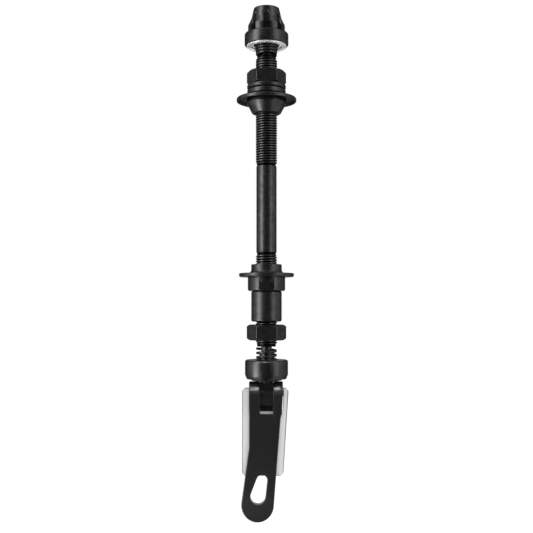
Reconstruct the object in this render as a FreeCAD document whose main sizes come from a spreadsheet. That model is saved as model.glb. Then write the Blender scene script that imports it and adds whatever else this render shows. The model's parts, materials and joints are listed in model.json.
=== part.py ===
"""Quick release axle: a hollow hub axle with its cones and lock nuts, and the skewer that runs through it.

The axle stands along Z, with the adjusting nut on top and the cam lever at the bottom.
The origin is the centre of the upper lock nut's outer face.  Sizes are in millimetres.
"""
import math
import os

import FreeCAD
import Part
import Sketcher

# Driving sizes
SIZES = {
    # hollow axle
    "axle_radius": 5.0,
    "axle_bore_radius": 2.8,
    "axle_upper_stub": 6.9,
    "axle_lower_stub": 2.9,
    "axle_end_chamfer": 0.6,
    "shank_radius": 4.72,
    "shank_top_depth": 43.3,
    "shank_length": 40.2,
    "locknut_spread": 125.2,
    # lock nuts, washer and spacers
    "nut_across_flats": 16.0,
    "nut_corner_drop": 0.9,
    "upper_nut_height": 6.3,
    "lower_nut_height": 7.2,
    "lower_nut_backoff": 1.4,
    "lock_washer_radius": 9.05,
    "lock_washer_thickness": 2.2,
    "spacer_ring_radius": 9.0,
    "spacer_ring_height": 2.8,
    "sleeve_radius": 7.08,
    "sleeve_length": 14.2,
    "edge_chamfer": 0.5,
    "sleeve_clearance": 0.2,
    # bearing cones and dust caps
    "cap_sheet": 0.8,
    "upper_neck_radius": 6.8,
    "upper_neck_length": 1.2,
    "upper_shoulder_radius": 9.2,
    "upper_shoulder_height": 1.7,
    "upper_taper_length": 4.8,
    "upper_tip_radius": 6.6,
    "upper_cap_radius": 13.95,
    "upper_cap_rim": 1.7,
    "cap_rim_round": 0.7,
    "cap_edge_round": 0.3,
    "cone_tip_round": 0.6,
    "cone_mouth_chamfer": 0.8,
    "lower_cap_radius": 12.75,
    "lower_cap_rim": 1.75,
    "lower_land_radius": 7.1,
    "lower_land_height": 4.15,
    "lower_race_round": 1.9,
    "lower_shoulder_radius": 9.1,
    "lower_shoulder_height": 0.9,
    "lower_grip_radius": 8.68,
    "lower_grip_height": 7.25,
    "wrench_flat_width": 16.2,
    "wrench_flat_height": 3.9,
    # springs
    "spring_wire_radius": 0.55,
    "spring_play": 0.3,
    "upper_spring_radius": 4.3,
    "upper_spring_spread": 0.9,
    "upper_spring_turns": 5.0,
    "lower_spring_radius": 4.35,
    "lower_spring_turns": 4.5,
    # lever collar and cam saddle
    "lower_gap": 9.0,
    "collar_radius": 10.0,
    "collar_height": 8.9,
    "collar_top_round": 1.0,
    "collar_foot_radius": 9.2,
    "collar_foot_height": 2.1,
    "spring_recess_radius": 5.5,
    "spring_recess_depth": 5.0,
    "spring_guide_radius": 3.35,
    "spring_guide_rise": 3.2,
    "saddle_radius": 7.1,
    "saddle_height": 0.7,
    "spigot_radius": 4.6,
    "spigot_length": 2.6,
    # draw rod
    "rod_radius": 2.5,
    "rod_play": 0.3,
    "rod_thread_play": 0.05,
    "rod_end_chamfer": 0.5,
    "rod_engagement": 8.8,
    "eye_radius": 3.2,
    "eye_nose_radius": 2.9,
    "eye_nose_depth": 3.3,
    "slot_play": 0.1,
    # cam lever
    "pin_radius": 1.5,
    "pin_play": 0.05,
    "pin_head": 0.2,
    "lobe_radius": 5.45,
    "blade_edge_round": 0.45,
    "lobe_offset": 1.0,
    "lobe_clearance": 0.35,
    "slot_half_width": 3.15,
    "slot_depth": 9.8,
    "lever_left": 8.1,
    "lever_right": 7.8,
    "lever_right_foot": 7.1,
    "lever_foot_depth": 9.4,
    "lever_right_waist": 6.5,
    "lever_waist_depth": 11.5,
    "lever_bend_depth": 25.0,
    "lever_right_bend": 5.45,
    "lever_tip_depth": 51.2,
    "lever_tip_offset": 4.1,
    "lever_tip_radius": 7.5,
    "blade_front": 2.0,
    "blade_back": 2.0,
    "blade_curl_depth": 42.0,
    "blade_curl": 2.4,
    "hole_depth": 47.5,
    "hole_offset": 3.95,
    "hole_radius": 3.5,
    "hole_neck_depth": 40.0,
    "hole_neck_offset": 2.1,
    "hole_neck_radius": 2.5,
    "web_top_depth": 6.45,
    "web_bottom_depth": 8.6,
    "web_front": 0.9,
    # cover plate on the lever's back
    "plate_left": 11.4,
    "plate_right_top": 10.4,
    "plate_right_bottom": 7.8,
    "plate_rise": 2.2,
    "plate_depth": 38.6,
    "plate_thickness": 1.1,
    "plate_corner": 2.0,
    "plate_notch_depth": 8.2,
    "plate_notch_play": 0.3,
    "stud_radius": 1.2,
    "stud_length": 1.6,
    "stud_offset": 1.5,
    "stud_upper_depth": 15.0,
    "stud_lower_depth": 33.0,
    # adjusting nut
    "upper_gap": 11.4,
    "ring_proud": 0.75,
    "ring_radius": 9.25,
    "ring_height": 2.25,
    "ring_play": 0.25,
    "ring_tooth_depth": 0.45,
    "ring_tooth_width": 0.9,
    "ring_tooth_count": 40,
    "knob_collar_radius": 10.25,
    "knob_collar_height": 5.8,
    "knob_collar_round": 1.1,
    "knob_foot_round": 0.6,
    "knob_band_radius": 8.7,
    "knob_band_height": 3.3,
    "knob_waist_radius": 7.15,
    "knob_waist_height": 3.2,
    "knob_crown_radius": 5.9,
    "knob_crown_height": 5.2,
    "knob_crown_round": 0.9,
    "flute_count": 8,
    "flute_top_radius": 2.05,
    "flute_bottom_radius": 3.6,
    "flute_top_depth": 0.6,
    "flute_bottom_depth": 1.0,
    "flute_start": 2.9,
    "insert_core_radius": 4.6,
    "insert_core_height": 8.1,
    "insert_skirt_wall": 0.45,
    "insert_floor": 1.2,
    "insert_lip_height": 0.6,
    "insert_lip_reach": 0.4,
    "spring_seat_radius": 6.0,
    "spring_seat_depth": 3.1,
    "rod_end_room": 2.7,
}

# Levels along the axle and sizes that follow from the driving ones
DERIVED = {
    "axle_bottom": "-locknut_spread - axle_lower_stub",
    "shank_top": "-shank_top_depth",
    "shank_bottom": "shank_top - shank_length",
    "nut_corner_radius": "nut_across_flats / 2 / cos(30 deg)",
    "upper_nut_base": "-upper_nut_height",
    "washer_base": "upper_nut_base - lock_washer_thickness",
    "ring_base": "washer_base - spacer_ring_height",
    "upper_cap_top": "ring_base - upper_neck_length",
    "upper_rim_base": "upper_cap_top - upper_cap_rim",
    "upper_shoulder_top": "upper_cap_top - cap_sheet",
    "upper_taper_top": "upper_shoulder_top - upper_shoulder_height",
    "upper_cone_end": "upper_taper_top - upper_taper_length",
    "lower_nut_base": "-locknut_spread",
    "lower_nut_top": "lower_nut_base + lower_nut_height",
    "sleeve_base": "lower_nut_top + lower_nut_backoff",
    "sleeve_top": "sleeve_base + sleeve_length",
    "lower_shoulder_base": "sleeve_top + lower_grip_height",
    "lower_cap_base": "lower_shoulder_base - cap_sheet",
    "lower_rim_top": "lower_cap_base + lower_cap_rim",
    "lower_race_floor": "lower_shoulder_base + lower_shoulder_height",
    "lower_cone_top": "lower_race_floor + lower_land_height",
    "collar_top": "lower_nut_base - lower_gap",
    "collar_base": "collar_top - collar_height",
    "recess_floor": "collar_top - spring_recess_depth",
    "saddle_base": "collar_base - saddle_height",
    "pivot_level": "saddle_base - lobe_clearance - lobe_radius",
    "lever_tip_level": "pivot_level - lever_tip_depth - lever_tip_radius",
    "rod_hole_radius": "rod_radius + rod_play",
    "ring_face": "upper_gap",
    "ring_top": "ring_face + ring_height",
    "knob_base": "ring_face + ring_proud",
    "grip_base": "knob_base + knob_collar_height",
    "band_top": "grip_base + knob_band_height",
    "waist_level": "band_top + knob_waist_height",
    "knob_top": "waist_level + knob_crown_height",
    "seat_floor": "knob_base + spring_seat_depth",
    "insert_shoulder": "seat_floor + insert_floor",
    "insert_top": "insert_shoulder + insert_core_height",
    "insert_lip_top": "knob_base + insert_lip_height",
    "insert_skirt_radius": "spring_seat_radius + insert_skirt_wall",
    "insert_lip_radius": "insert_skirt_radius + insert_lip_reach",
    "rod_top": "seat_floor + rod_engagement",
    "upper_spring_base": "axle_upper_stub + spring_wire_radius",
    "upper_spring_height": "seat_floor - spring_play - 2 * spring_wire_radius - axle_upper_stub",
    "lower_spring_base": "recess_floor + spring_play + spring_wire_radius",
    "lower_spring_height": "axle_bottom - recess_floor - 2 * spring_play - 2 * spring_wire_radius",
    "flute_top_level": "knob_top - flute_start",
    "flute_top_reach": "knob_crown_radius + flute_start * (knob_waist_radius - knob_crown_radius)"
                       " / knob_crown_height + flute_top_radius - flute_top_depth",
    "flute_bottom_reach": "knob_band_radius + flute_bottom_radius - flute_bottom_depth",
    "flute_rise": "flute_top_level - grip_base",
    "flute_lean": "atan((flute_bottom_reach - flute_top_reach) / flute_rise) / 1 deg",
    "flute_length": "sqrt((flute_bottom_reach - flute_top_reach)^2 + flute_rise^2)",
}

doc = FreeCAD.newDocument("quick_release_axle")


def size_sheet():
    """The spreadsheet that every size is read from."""
    sheet = doc.addObject("Spreadsheet::Sheet", "dim")
    cells = [(name, str(value)) for name, value in SIZES.items()]
    cells += [(name, "=" + formula) for name, formula in DERIVED.items()]
    for row, (name, content) in enumerate(cells, start=1):
        sheet.set(f"A{row}", name)
        sheet.setAlias(f"B{row}", name)
        sheet.set(f"B{row}", content)
    doc.recompute()
    return sheet


dim = size_sheet()


def size(name):
    """The present value of a named size."""
    return float(dim.get(name))


def new_body(label):
    body = doc.addObject("PartDesign::Body", label)
    body.Label = label
    return body


def origin_feature(body, role):
    return next(item for item in body.Origin.OriginFeatures if item.Role == role)


def attach(feature, body, plane):
    feature.AttachmentSupport = [(origin_feature(body, plane), "")]
    feature.MapMode = "FlatFace"


def bind(feature, **expressions):
    """Tie properties to sheet expressions; a double underscore stands for a dot."""
    for name, expression in expressions.items():
        feature.setExpression(name.replace("__", "."), expression)


def bind_point(sketch, geometry, end, across, along):
    """Hold one end of a sketch line at (across, along) from the sketch's origin."""
    for kind, expression in (("DistanceX", across), ("DistanceY", along)):
        index = sketch.addConstraint(Sketcher.Constraint(kind, -1, 1, geometry, end, 1.0))
        sketch.setExpression(f"Constraints[{index}]", expression)


def add_polygon(sketch, corners):
    """Draw a closed outline through corners given as pairs of expressions."""
    count = len(corners)
    spots = [FreeCAD.Vector(10 + index % 2, index, 0) for index in range(count)]
    lines = []
    for spot, following in zip(spots, spots[1:] + spots[:1]):
        lines.append(sketch.addGeometry(Part.LineSegment(spot, following), False))
    for line, following in zip(lines, lines[1:] + lines[:1]):
        sketch.addConstraint(Sketcher.Constraint("Coincident", line, 2, following, 1))
    for line, (across, along) in zip(lines, corners):
        bind_point(sketch, line, 1, across, along)


def polygon_sketch(body, plane, corners):
    sketch = body.newObject("Sketcher::SketchObject", body.Label + "_outline")
    attach(sketch, body, plane)
    add_polygon(sketch, corners)
    return sketch


def revolve(body, corners, kind="PartDesign::Revolution"):
    """Turn an outline of (radius, level) corners about the axle's line, as a solid or a groove."""
    sketch = polygon_sketch(body, "XZ_Plane", corners)
    turned = body.newObject(kind, body.Label + "_turned")
    turned.Profile = sketch
    turned.ReferenceAxis = (sketch, ["V_Axis"])
    turned.Angle = 360
    doc.recompute()
    return turned


def primitive(body, kind, plane, **expressions):
    """An added or cut primitive on one of the body's own planes."""
    feature = body.newObject("PartDesign::" + kind, body.Label + "_" + kind.lower())
    attach(feature, body, plane)
    bind(feature, **expressions)
    doc.recompute()
    return feature


def pattern_about_axis(body, cut, count):
    """Repeat a cut evenly about the axle's line."""
    pattern = body.newObject("PartDesign::PolarPattern", body.Label + "_pattern")
    pattern.Originals = [cut]
    pattern.Axis = (origin_feature(body, "Z_Axis"), [""])
    pattern.Angle = 360
    bind(pattern, Occurrences=count)
    body.Tip = pattern
    doc.recompute()
    return pattern


def round_rings(body, rings, radius):
    """Fillet the circular edges that lie at the given (radius, level) names."""
    wanted = [(size(ring), size(level)) for ring, level in rings]
    base = body.Tip
    names = []
    for index, edge in enumerate(base.Shape.Edges, start=1):
        if not isinstance(edge.Curve, Part.Circle):
            continue
        ring, level = edge.Curve.Radius, edge.Curve.Center.z
        if any(abs(ring - r) < 1e-4 and abs(level - z) < 1e-4 for r, z in wanted):
            names.append(f"Edge{index}")
    fillet = body.newObject("PartDesign::Fillet", body.Label + "_round")
    fillet.Base = (base, names)
    bind(fillet, Radius=radius)
    doc.recompute()
    return fillet


def is_side_wall(face):
    """Tell whether a face of the lever runs straight through from its front to its back."""
    surface = face.Surface
    if isinstance(surface, Part.Cylinder):
        return abs(surface.Axis.y) > 0.9
    return isinstance(surface, Part.Plane) and abs(surface.Axis.y) < 1e-6 < abs(surface.Axis.x)


def round_outline(body, radius):
    """Fillet the edges where the lever's front and back meet its side walls."""
    base = body.Tip
    shape = base.Shape
    names = []
    for index, edge in enumerate(shape.Edges, start=1):
        walls = [is_side_wall(face) for face in shape.ancestorsOfType(edge, Part.Face)]
        if any(walls) and not all(walls):
            names.append(f"Edge{index}")
    fillet = body.newObject("PartDesign::Fillet", body.Label + "_round")
    fillet.Base = (base, names)
    bind(fillet, Radius=radius)
    doc.recompute()
    return fillet


def symmetric(body, sketch, kind, length):
    """Extrude a sketch equally to both sides, as a Pad or a Pocket."""
    feature = body.newObject("PartDesign::" + kind, body.Label + "_" + kind.lower())
    feature.Profile = sketch
    feature.SideType = "Symmetric"
    bind(feature, Length=length)
    doc.recompute()
    return feature


def tangent_angle(centre, radius, point, side):
    """Where a line from a point touches a circle, as an angle; side picks one of the two lines."""
    reach = point - centre
    return math.atan2(reach.y, reach.x) + side * math.acos(radius / reach.Length)


def on_circle(centre, radius, angle):
    return centre + FreeCAD.Vector(radius * math.cos(angle), radius * math.sin(angle), 0)


def arc(centre, radius, start, end):
    return Part.ArcOfCircle(Part.Circle(centre, FreeCAD.Vector(0, 0, 1), radius), start, end)


def bind_radius(sketch, geometry, expression):
    index = sketch.addConstraint(Sketcher.Constraint("Radius", geometry, sketch.Geometry[geometry].Radius))
    sketch.setExpression(f"Constraints[{index}]", expression)


def lever_side(body):
    """The lever from its side: the cam lobe, the blade and the curl of its tip."""
    sketch = body.newObject("Sketcher::SketchObject", "lever_side")
    attach(sketch, body, "YZ_Plane")
    pivot = size("pivot_level")
    front, back, curl = -size("blade_front"), size("blade_back"), size("blade_curl")
    lobe, radius = FreeCAD.Vector(-size("lobe_offset"), pivot, 0), size("lobe_radius")
    front_foot = FreeCAD.Vector(front, pivot - size("lever_waist_depth"), 0)
    back_foot = FreeCAD.Vector(back, pivot - size("plate_notch_depth"), 0)
    curl_level, tip_level = pivot - size("blade_curl_depth"), size("lever_tip_level")
    front_curl, back_curl = FreeCAD.Vector(front, curl_level, 0), FreeCAD.Vector(back, curl_level, 0)
    front_tip = FreeCAD.Vector(front - curl, tip_level, 0)
    back_tip = FreeCAD.Vector(back - curl, tip_level, 0)
    start = tangent_angle(lobe, radius, back_foot, 1)
    end = tangent_angle(lobe, radius, front_foot, -1) + 2 * math.pi
    drop = curl_level - tip_level
    bend = (drop ** 2 + curl ** 2) / (2 * curl)
    sweep = -math.asin(drop / bend)
    outline = [
        arc(lobe, radius, start, end),
        Part.LineSegment(on_circle(lobe, radius, end), front_foot),
        Part.LineSegment(front_foot, front_curl),
        arc(front_curl - FreeCAD.Vector(bend, 0, 0), bend, sweep, 0),
        Part.LineSegment(front_tip, back_tip),
        arc(back_curl - FreeCAD.Vector(bend, 0, 0), bend, sweep, 0),
        Part.LineSegment(back_curl, back_foot),
        Part.LineSegment(back_foot, on_circle(lobe, radius, start)),
    ]
    for item in outline:
        sketch.addGeometry(item, False)
    joins = [("Tangent", 0, 2, 1, 1), ("Coincident", 1, 2, 2, 1), ("Tangent", 2, 2, 3, 2),
             ("Coincident", 3, 1, 4, 1), ("Coincident", 4, 2, 5, 1), ("Tangent", 5, 2, 6, 1),
             ("Coincident", 6, 2, 7, 1), ("Tangent", 7, 2, 0, 1)]
    for kind, *ends in joins:
        sketch.addConstraint(Sketcher.Constraint(kind, *ends))
    bind_point(sketch, 0, 3, "-dim.lobe_offset", "dim.pivot_level")
    bind_radius(sketch, 0, "dim.lobe_radius")
    bind_point(sketch, 1, 2, "-dim.blade_front", "dim.pivot_level - dim.lever_waist_depth")
    bind_point(sketch, 2, 2, "-dim.blade_front", "dim.pivot_level - dim.blade_curl_depth")
    bind_point(sketch, 4, 1, "-dim.blade_front - dim.blade_curl", "dim.lever_tip_level")
    bind_point(sketch, 4, 2, "dim.blade_back - dim.blade_curl", "dim.lever_tip_level")
    bind_point(sketch, 6, 1, "dim.blade_back", "dim.pivot_level - dim.blade_curl_depth")
    bind_point(sketch, 6, 2, "dim.blade_back", "dim.pivot_level - dim.plate_notch_depth")
    return sketch


def lever_surround(body):
    """What is cut away round the lever's front outline."""
    sketch = body.newObject("Sketcher::SketchObject", "lever_surround")
    attach(sketch, body, "XZ_Plane")
    pivot = size("pivot_level")
    tip = FreeCAD.Vector(-size("lever_tip_offset"), pivot - size("lever_tip_depth"), 0)
    radius = size("lever_tip_radius")
    top = pivot + 2 * size("lobe_radius")
    left_top = FreeCAD.Vector(-size("lever_left"), top, 0)
    left_bend = FreeCAD.Vector(-size("lever_left"), pivot - size("lever_bend_depth"), 0)
    right_bend = FreeCAD.Vector(size("lever_right_bend"), pivot - size("lever_bend_depth"), 0)
    waist = FreeCAD.Vector(size("lever_right_waist"), pivot - size("lever_waist_depth"), 0)
    foot = FreeCAD.Vector(size("lever_right_foot"), pivot - size("lever_foot_depth"), 0)
    right_top = FreeCAD.Vector(size("lever_right"), top, 0)
    start = tangent_angle(tip, radius, left_bend, 1)
    end = tangent_angle(tip, radius, right_bend, -1) + 2 * math.pi
    outline = [
        Part.LineSegment(left_top, left_bend),
        Part.LineSegment(left_bend, on_circle(tip, radius, start)),
        arc(tip, radius, start, end),
        Part.LineSegment(on_circle(tip, radius, end), right_bend),
        Part.LineSegment(right_bend, waist),
        Part.LineSegment(waist, foot),
        Part.LineSegment(foot, right_top),
        Part.LineSegment(right_top, left_top),
    ]
    for item in outline:
        sketch.addGeometry(item, False)
    joins = [("Coincident", 0, 2, 1, 1), ("Tangent", 1, 2, 2, 1), ("Tangent", 2, 2, 3, 1),
             ("Coincident", 3, 2, 4, 1), ("Coincident", 4, 2, 5, 1), ("Coincident", 5, 2, 6, 1),
             ("Coincident", 6, 2, 7, 1), ("Coincident", 7, 2, 0, 1)]
    for kind, *ends in joins:
        sketch.addConstraint(Sketcher.Constraint(kind, *ends))
    bind_point(sketch, 0, 1, "-dim.lever_left", "dim.pivot_level + 2 * dim.lobe_radius")
    bind_point(sketch, 0, 2, "-dim.lever_left", "dim.pivot_level - dim.lever_bend_depth")
    bind_point(sketch, 2, 3, "-dim.lever_tip_offset", "dim.pivot_level - dim.lever_tip_depth")
    bind_radius(sketch, 2, "dim.lever_tip_radius")
    bind_point(sketch, 4, 1, "dim.lever_right_bend", "dim.pivot_level - dim.lever_bend_depth")
    bind_point(sketch, 4, 2, "dim.lever_right_waist", "dim.pivot_level - dim.lever_waist_depth")
    bind_point(sketch, 5, 2, "dim.lever_right_foot", "dim.pivot_level - dim.lever_foot_depth")
    bind_point(sketch, 6, 2, "dim.lever_right", "dim.pivot_level + 2 * dim.lobe_radius")
    return sketch


def hollow_axle():
    body = new_body("hollow_axle")
    revolve(body, [
        ("dim.axle_bore_radius", "dim.axle_upper_stub"),
        ("dim.axle_radius - dim.axle_end_chamfer", "dim.axle_upper_stub"),
        ("dim.axle_radius", "dim.axle_upper_stub - dim.axle_end_chamfer"),
        ("dim.axle_radius", "dim.shank_top"),
        ("dim.shank_radius", "dim.shank_top - dim.axle_radius + dim.shank_radius"),
        ("dim.shank_radius", "dim.shank_bottom + dim.axle_radius - dim.shank_radius"),
        ("dim.axle_radius", "dim.shank_bottom"),
        ("dim.axle_radius", "dim.axle_bottom + dim.axle_end_chamfer"),
        ("dim.axle_radius - dim.axle_end_chamfer", "dim.axle_bottom"),
        ("dim.axle_bore_radius", "dim.axle_bottom"),
    ])
    return body


def lock_nut(label, base, top, height):
    """A hexagon nut with its corners turned down at both ends."""
    body = new_body(label)
    primitive(body, "AdditivePrism", "XY_Plane", Circumradius="dim.nut_corner_radius",
              Height=height, AttachmentOffset__Base__z=base)
    primitive(body, "SubtractiveCylinder", "XY_Plane", Radius="dim.axle_radius",
              Height=height, AttachmentOffset__Base__z=base)
    face = "dim.nut_across_flats / 2"
    for level, drop in ((top, "- dim.nut_corner_drop"), (base, "+ dim.nut_corner_drop")):
        revolve(body, [
            (face, level),
            ("dim.nut_corner_radius + dim.nut_corner_drop", level),
            ("dim.nut_corner_radius + dim.nut_corner_drop", f"{level} {drop}"),
            ("dim.nut_corner_radius", f"{level} {drop}"),
        ], kind="PartDesign::Groove")
    return body


def plain_ring(label, inner, outer, base, top):
    """A ring with both outer edges chamfered."""
    body = new_body(label)
    chamfer = f"min(dim.edge_chamfer; ({top} - {base}) / 4)"
    revolve(body, [
        (inner, top),
        (f"{outer} - {chamfer}", top),
        (outer, f"{top} - {chamfer}"),
        (outer, f"{base} + {chamfer}"),
        (f"{outer} - {chamfer}", base),
        (inner, base),
    ])
    return body


def upper_cone():
    body = new_body("upper_cone")
    revolve(body, [
        ("dim.axle_radius", "dim.ring_base"),
        ("dim.upper_neck_radius", "dim.ring_base"),
        ("dim.upper_neck_radius", "dim.upper_shoulder_top"),
        ("dim.upper_shoulder_radius", "dim.upper_shoulder_top"),
        ("dim.upper_shoulder_radius", "dim.upper_taper_top"),
        ("dim.upper_tip_radius", "dim.upper_cone_end"),
        ("dim.axle_radius + dim.cone_mouth_chamfer", "dim.upper_cone_end"),
        ("dim.axle_radius", "dim.upper_cone_end + dim.cone_mouth_chamfer"),
    ])
    round_rings(body, [("upper_tip_radius", "upper_cone_end")], "dim.cone_tip_round")
    return body


def upper_dust_cap():
    """A pressed cap whose rim turns down towards the hub."""
    body = new_body("upper_dust_cap")
    revolve(body, [
        ("dim.upper_neck_radius", "dim.upper_cap_top"),
        ("dim.upper_cap_radius", "dim.upper_cap_top"),
        ("dim.upper_cap_radius", "dim.upper_rim_base"),
        ("dim.upper_cap_radius - dim.cap_sheet", "dim.upper_rim_base"),
        ("dim.upper_cap_radius - dim.cap_sheet", "dim.upper_shoulder_top"),
        ("dim.upper_neck_radius", "dim.upper_shoulder_top"),
    ])
    round_rings(body, [("upper_cap_radius", "upper_cap_top")], "dim.cap_rim_round")
    round_rings(body, [("upper_cap_radius", "upper_rim_base")], "dim.cap_edge_round")
    return body


def lower_cone():
    """A cone with a hollow ball race, and two wrench flats on its grip."""
    body = new_body("lower_cone")
    revolve(body, [
        ("dim.axle_radius", "dim.lower_cone_top - dim.cone_mouth_chamfer"),
        ("dim.axle_radius + dim.cone_mouth_chamfer", "dim.lower_cone_top"),
        ("dim.lower_land_radius", "dim.lower_cone_top"),
        ("dim.lower_land_radius", "dim.lower_race_floor"),
        ("dim.lower_shoulder_radius", "dim.lower_race_floor"),
        ("dim.lower_shoulder_radius", "dim.lower_shoulder_base"),
        ("dim.lower_grip_radius", "dim.lower_shoulder_base"),
        ("dim.lower_grip_radius", "dim.sleeve_top + dim.edge_chamfer"),
        ("dim.lower_grip_radius - dim.edge_chamfer", "dim.sleeve_top"),
        ("dim.axle_radius", "dim.sleeve_top"),
    ])
    round_rings(body, [("lower_land_radius", "lower_race_floor")], "dim.lower_race_round")
    for inner in ("dim.wrench_flat_width / 2", "-dim.wrench_flat_width / 2 - dim.lower_grip_radius"):
        primitive(body, "SubtractiveBox", "XY_Plane", Length="2 * dim.lower_grip_radius",
                  Width="dim.lower_grip_radius", Height="dim.wrench_flat_height",
                  AttachmentOffset__Base__x="-dim.lower_grip_radius", AttachmentOffset__Base__y=inner,
                  AttachmentOffset__Base__z="dim.sleeve_top")
    return body


def lower_dust_cap():
    """A pressed cap whose rim turns up towards the hub."""
    body = new_body("lower_dust_cap")
    revolve(body, [
        ("dim.lower_grip_radius", "dim.lower_cap_base"),
        ("dim.lower_cap_radius", "dim.lower_cap_base"),
        ("dim.lower_cap_radius", "dim.lower_rim_top"),
        ("dim.lower_cap_radius - dim.cap_sheet", "dim.lower_rim_top"),
        ("dim.lower_cap_radius - dim.cap_sheet", "dim.lower_shoulder_base"),
        ("dim.lower_grip_radius", "dim.lower_shoulder_base"),
    ])
    round_rings(body, [("lower_cap_radius", "lower_cap_base")], "dim.cap_rim_round")
    round_rings(body, [("lower_cap_radius", "lower_rim_top")], "dim.cap_edge_round")
    return body


def coil_spring(label, radius, spread, turns, base, height):
    """A round coil of wire; the wire's outline is a hexagon."""
    helix = doc.addObject("Part::Helix", label + "_path")
    helix.setExpression("Radius", radius)
    helix.setExpression("Height", height)
    helix.setExpression("Pitch", f"{height} / {turns}")
    helix.setExpression("Angle", f"atan({spread} / ({height}))")
    helix.setExpression("Placement.Base.z", base)
    wire = doc.addObject("Part::RegularPolygon", label + "_wire")
    wire.Polygon = 6
    wire.setExpression("Circumradius", "dim.spring_wire_radius")
    wire.Placement.Rotation = FreeCAD.Rotation(FreeCAD.Vector(1, 0, 0), 90)
    wire.setExpression("Placement.Base.x", radius)
    wire.setExpression("Placement.Base.z", base)
    doc.recompute()
    coil = doc.addObject("Part::Sweep", label)
    coil.Label = label
    coil.Sections = [wire]
    coil.Spine = (helix, [f"Edge{index + 1}" for index in range(len(helix.Shape.Edges))])
    coil.Solid = True
    coil.Frenet = True
    doc.recompute()
    return coil


def lever_collar():
    """The cup that presses on the frame at the lever's end, with a tube that guides its spring."""
    body = new_body("lever_collar")
    revolve(body, [
        ("dim.spring_recess_radius", "dim.collar_top"),
        ("dim.collar_radius", "dim.collar_top"),
        ("dim.collar_radius", "dim.collar_base + dim.collar_foot_height"),
        ("dim.collar_foot_radius", "dim.collar_base"),
        ("dim.spigot_radius", "dim.collar_base"),
        ("dim.spigot_radius", "dim.collar_base + dim.spigot_length"),
        ("dim.rod_hole_radius", "dim.collar_base + dim.spigot_length"),
        ("dim.rod_hole_radius", "dim.collar_top + dim.spring_guide_rise"),
        ("dim.spring_guide_radius", "dim.collar_top + dim.spring_guide_rise"),
        ("dim.spring_guide_radius", "dim.recess_floor"),
        ("dim.spring_recess_radius", "dim.recess_floor"),
    ])
    round_rings(body, [("collar_radius", "collar_top")], "dim.collar_top_round")
    return body


def cam_saddle():
    """The bush under the collar that the lever's lobes bear on."""
    body = new_body("cam_saddle")
    revolve(body, [
        ("dim.rod_hole_radius", "dim.collar_base + dim.spigot_length"),
        ("dim.spigot_radius", "dim.collar_base + dim.spigot_length"),
        ("dim.spigot_radius", "dim.collar_base"),
        ("dim.saddle_radius", "dim.collar_base"),
        ("dim.saddle_radius", "dim.saddle_base"),
        ("dim.rod_hole_radius", "dim.saddle_base"),
    ])
    return body


def draw_rod():
    """The skewer's rod, threaded at the top, with a long-nosed eye for the lever's pin."""
    body = new_body("draw_rod")
    revolve(body, [
        ("0", "dim.rod_top"),
        ("dim.rod_radius - dim.rod_end_chamfer", "dim.rod_top"),
        ("dim.rod_radius", "dim.rod_top - dim.rod_end_chamfer"),
        ("dim.rod_radius", "dim.pivot_level"),
        ("0", "dim.pivot_level"),
    ])
    eye_width = "2 * (dim.slot_half_width - dim.slot_play)"
    eye_side = "dim.slot_play - dim.slot_half_width"
    nose_level = "dim.pivot_level - dim.eye_nose_depth"
    primitive(body, "AdditiveCylinder", "YZ_Plane", Radius="dim.eye_radius", Height=eye_width,
              AttachmentOffset__Base__y="dim.pivot_level", AttachmentOffset__Base__z=eye_side)
    primitive(body, "AdditiveBox", "XY_Plane", Length=eye_width, Width="2 * dim.eye_nose_radius",
              Height="dim.eye_nose_depth", AttachmentOffset__Base__x=eye_side,
              AttachmentOffset__Base__y="-dim.eye_nose_radius", AttachmentOffset__Base__z=nose_level)
    primitive(body, "AdditiveCylinder", "YZ_Plane", Radius="dim.eye_nose_radius", Height=eye_width,
              AttachmentOffset__Base__y=nose_level, AttachmentOffset__Base__z=eye_side)
    primitive(body, "SubtractiveCylinder", "YZ_Plane", Radius="dim.pin_radius + dim.pin_play",
              Height=eye_width, AttachmentOffset__Base__y="dim.pivot_level",
              AttachmentOffset__Base__z=eye_side)
    return body


def pivot_pin():
    body = new_body("pivot_pin")
    primitive(body, "AdditiveCylinder", "YZ_Plane", Radius="dim.pin_radius",
              Height="dim.lever_left + dim.lever_right + dim.pin_head",
              AttachmentOffset__Base__y="dim.pivot_level", AttachmentOffset__Base__z="-dim.lever_left")
    return body


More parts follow.
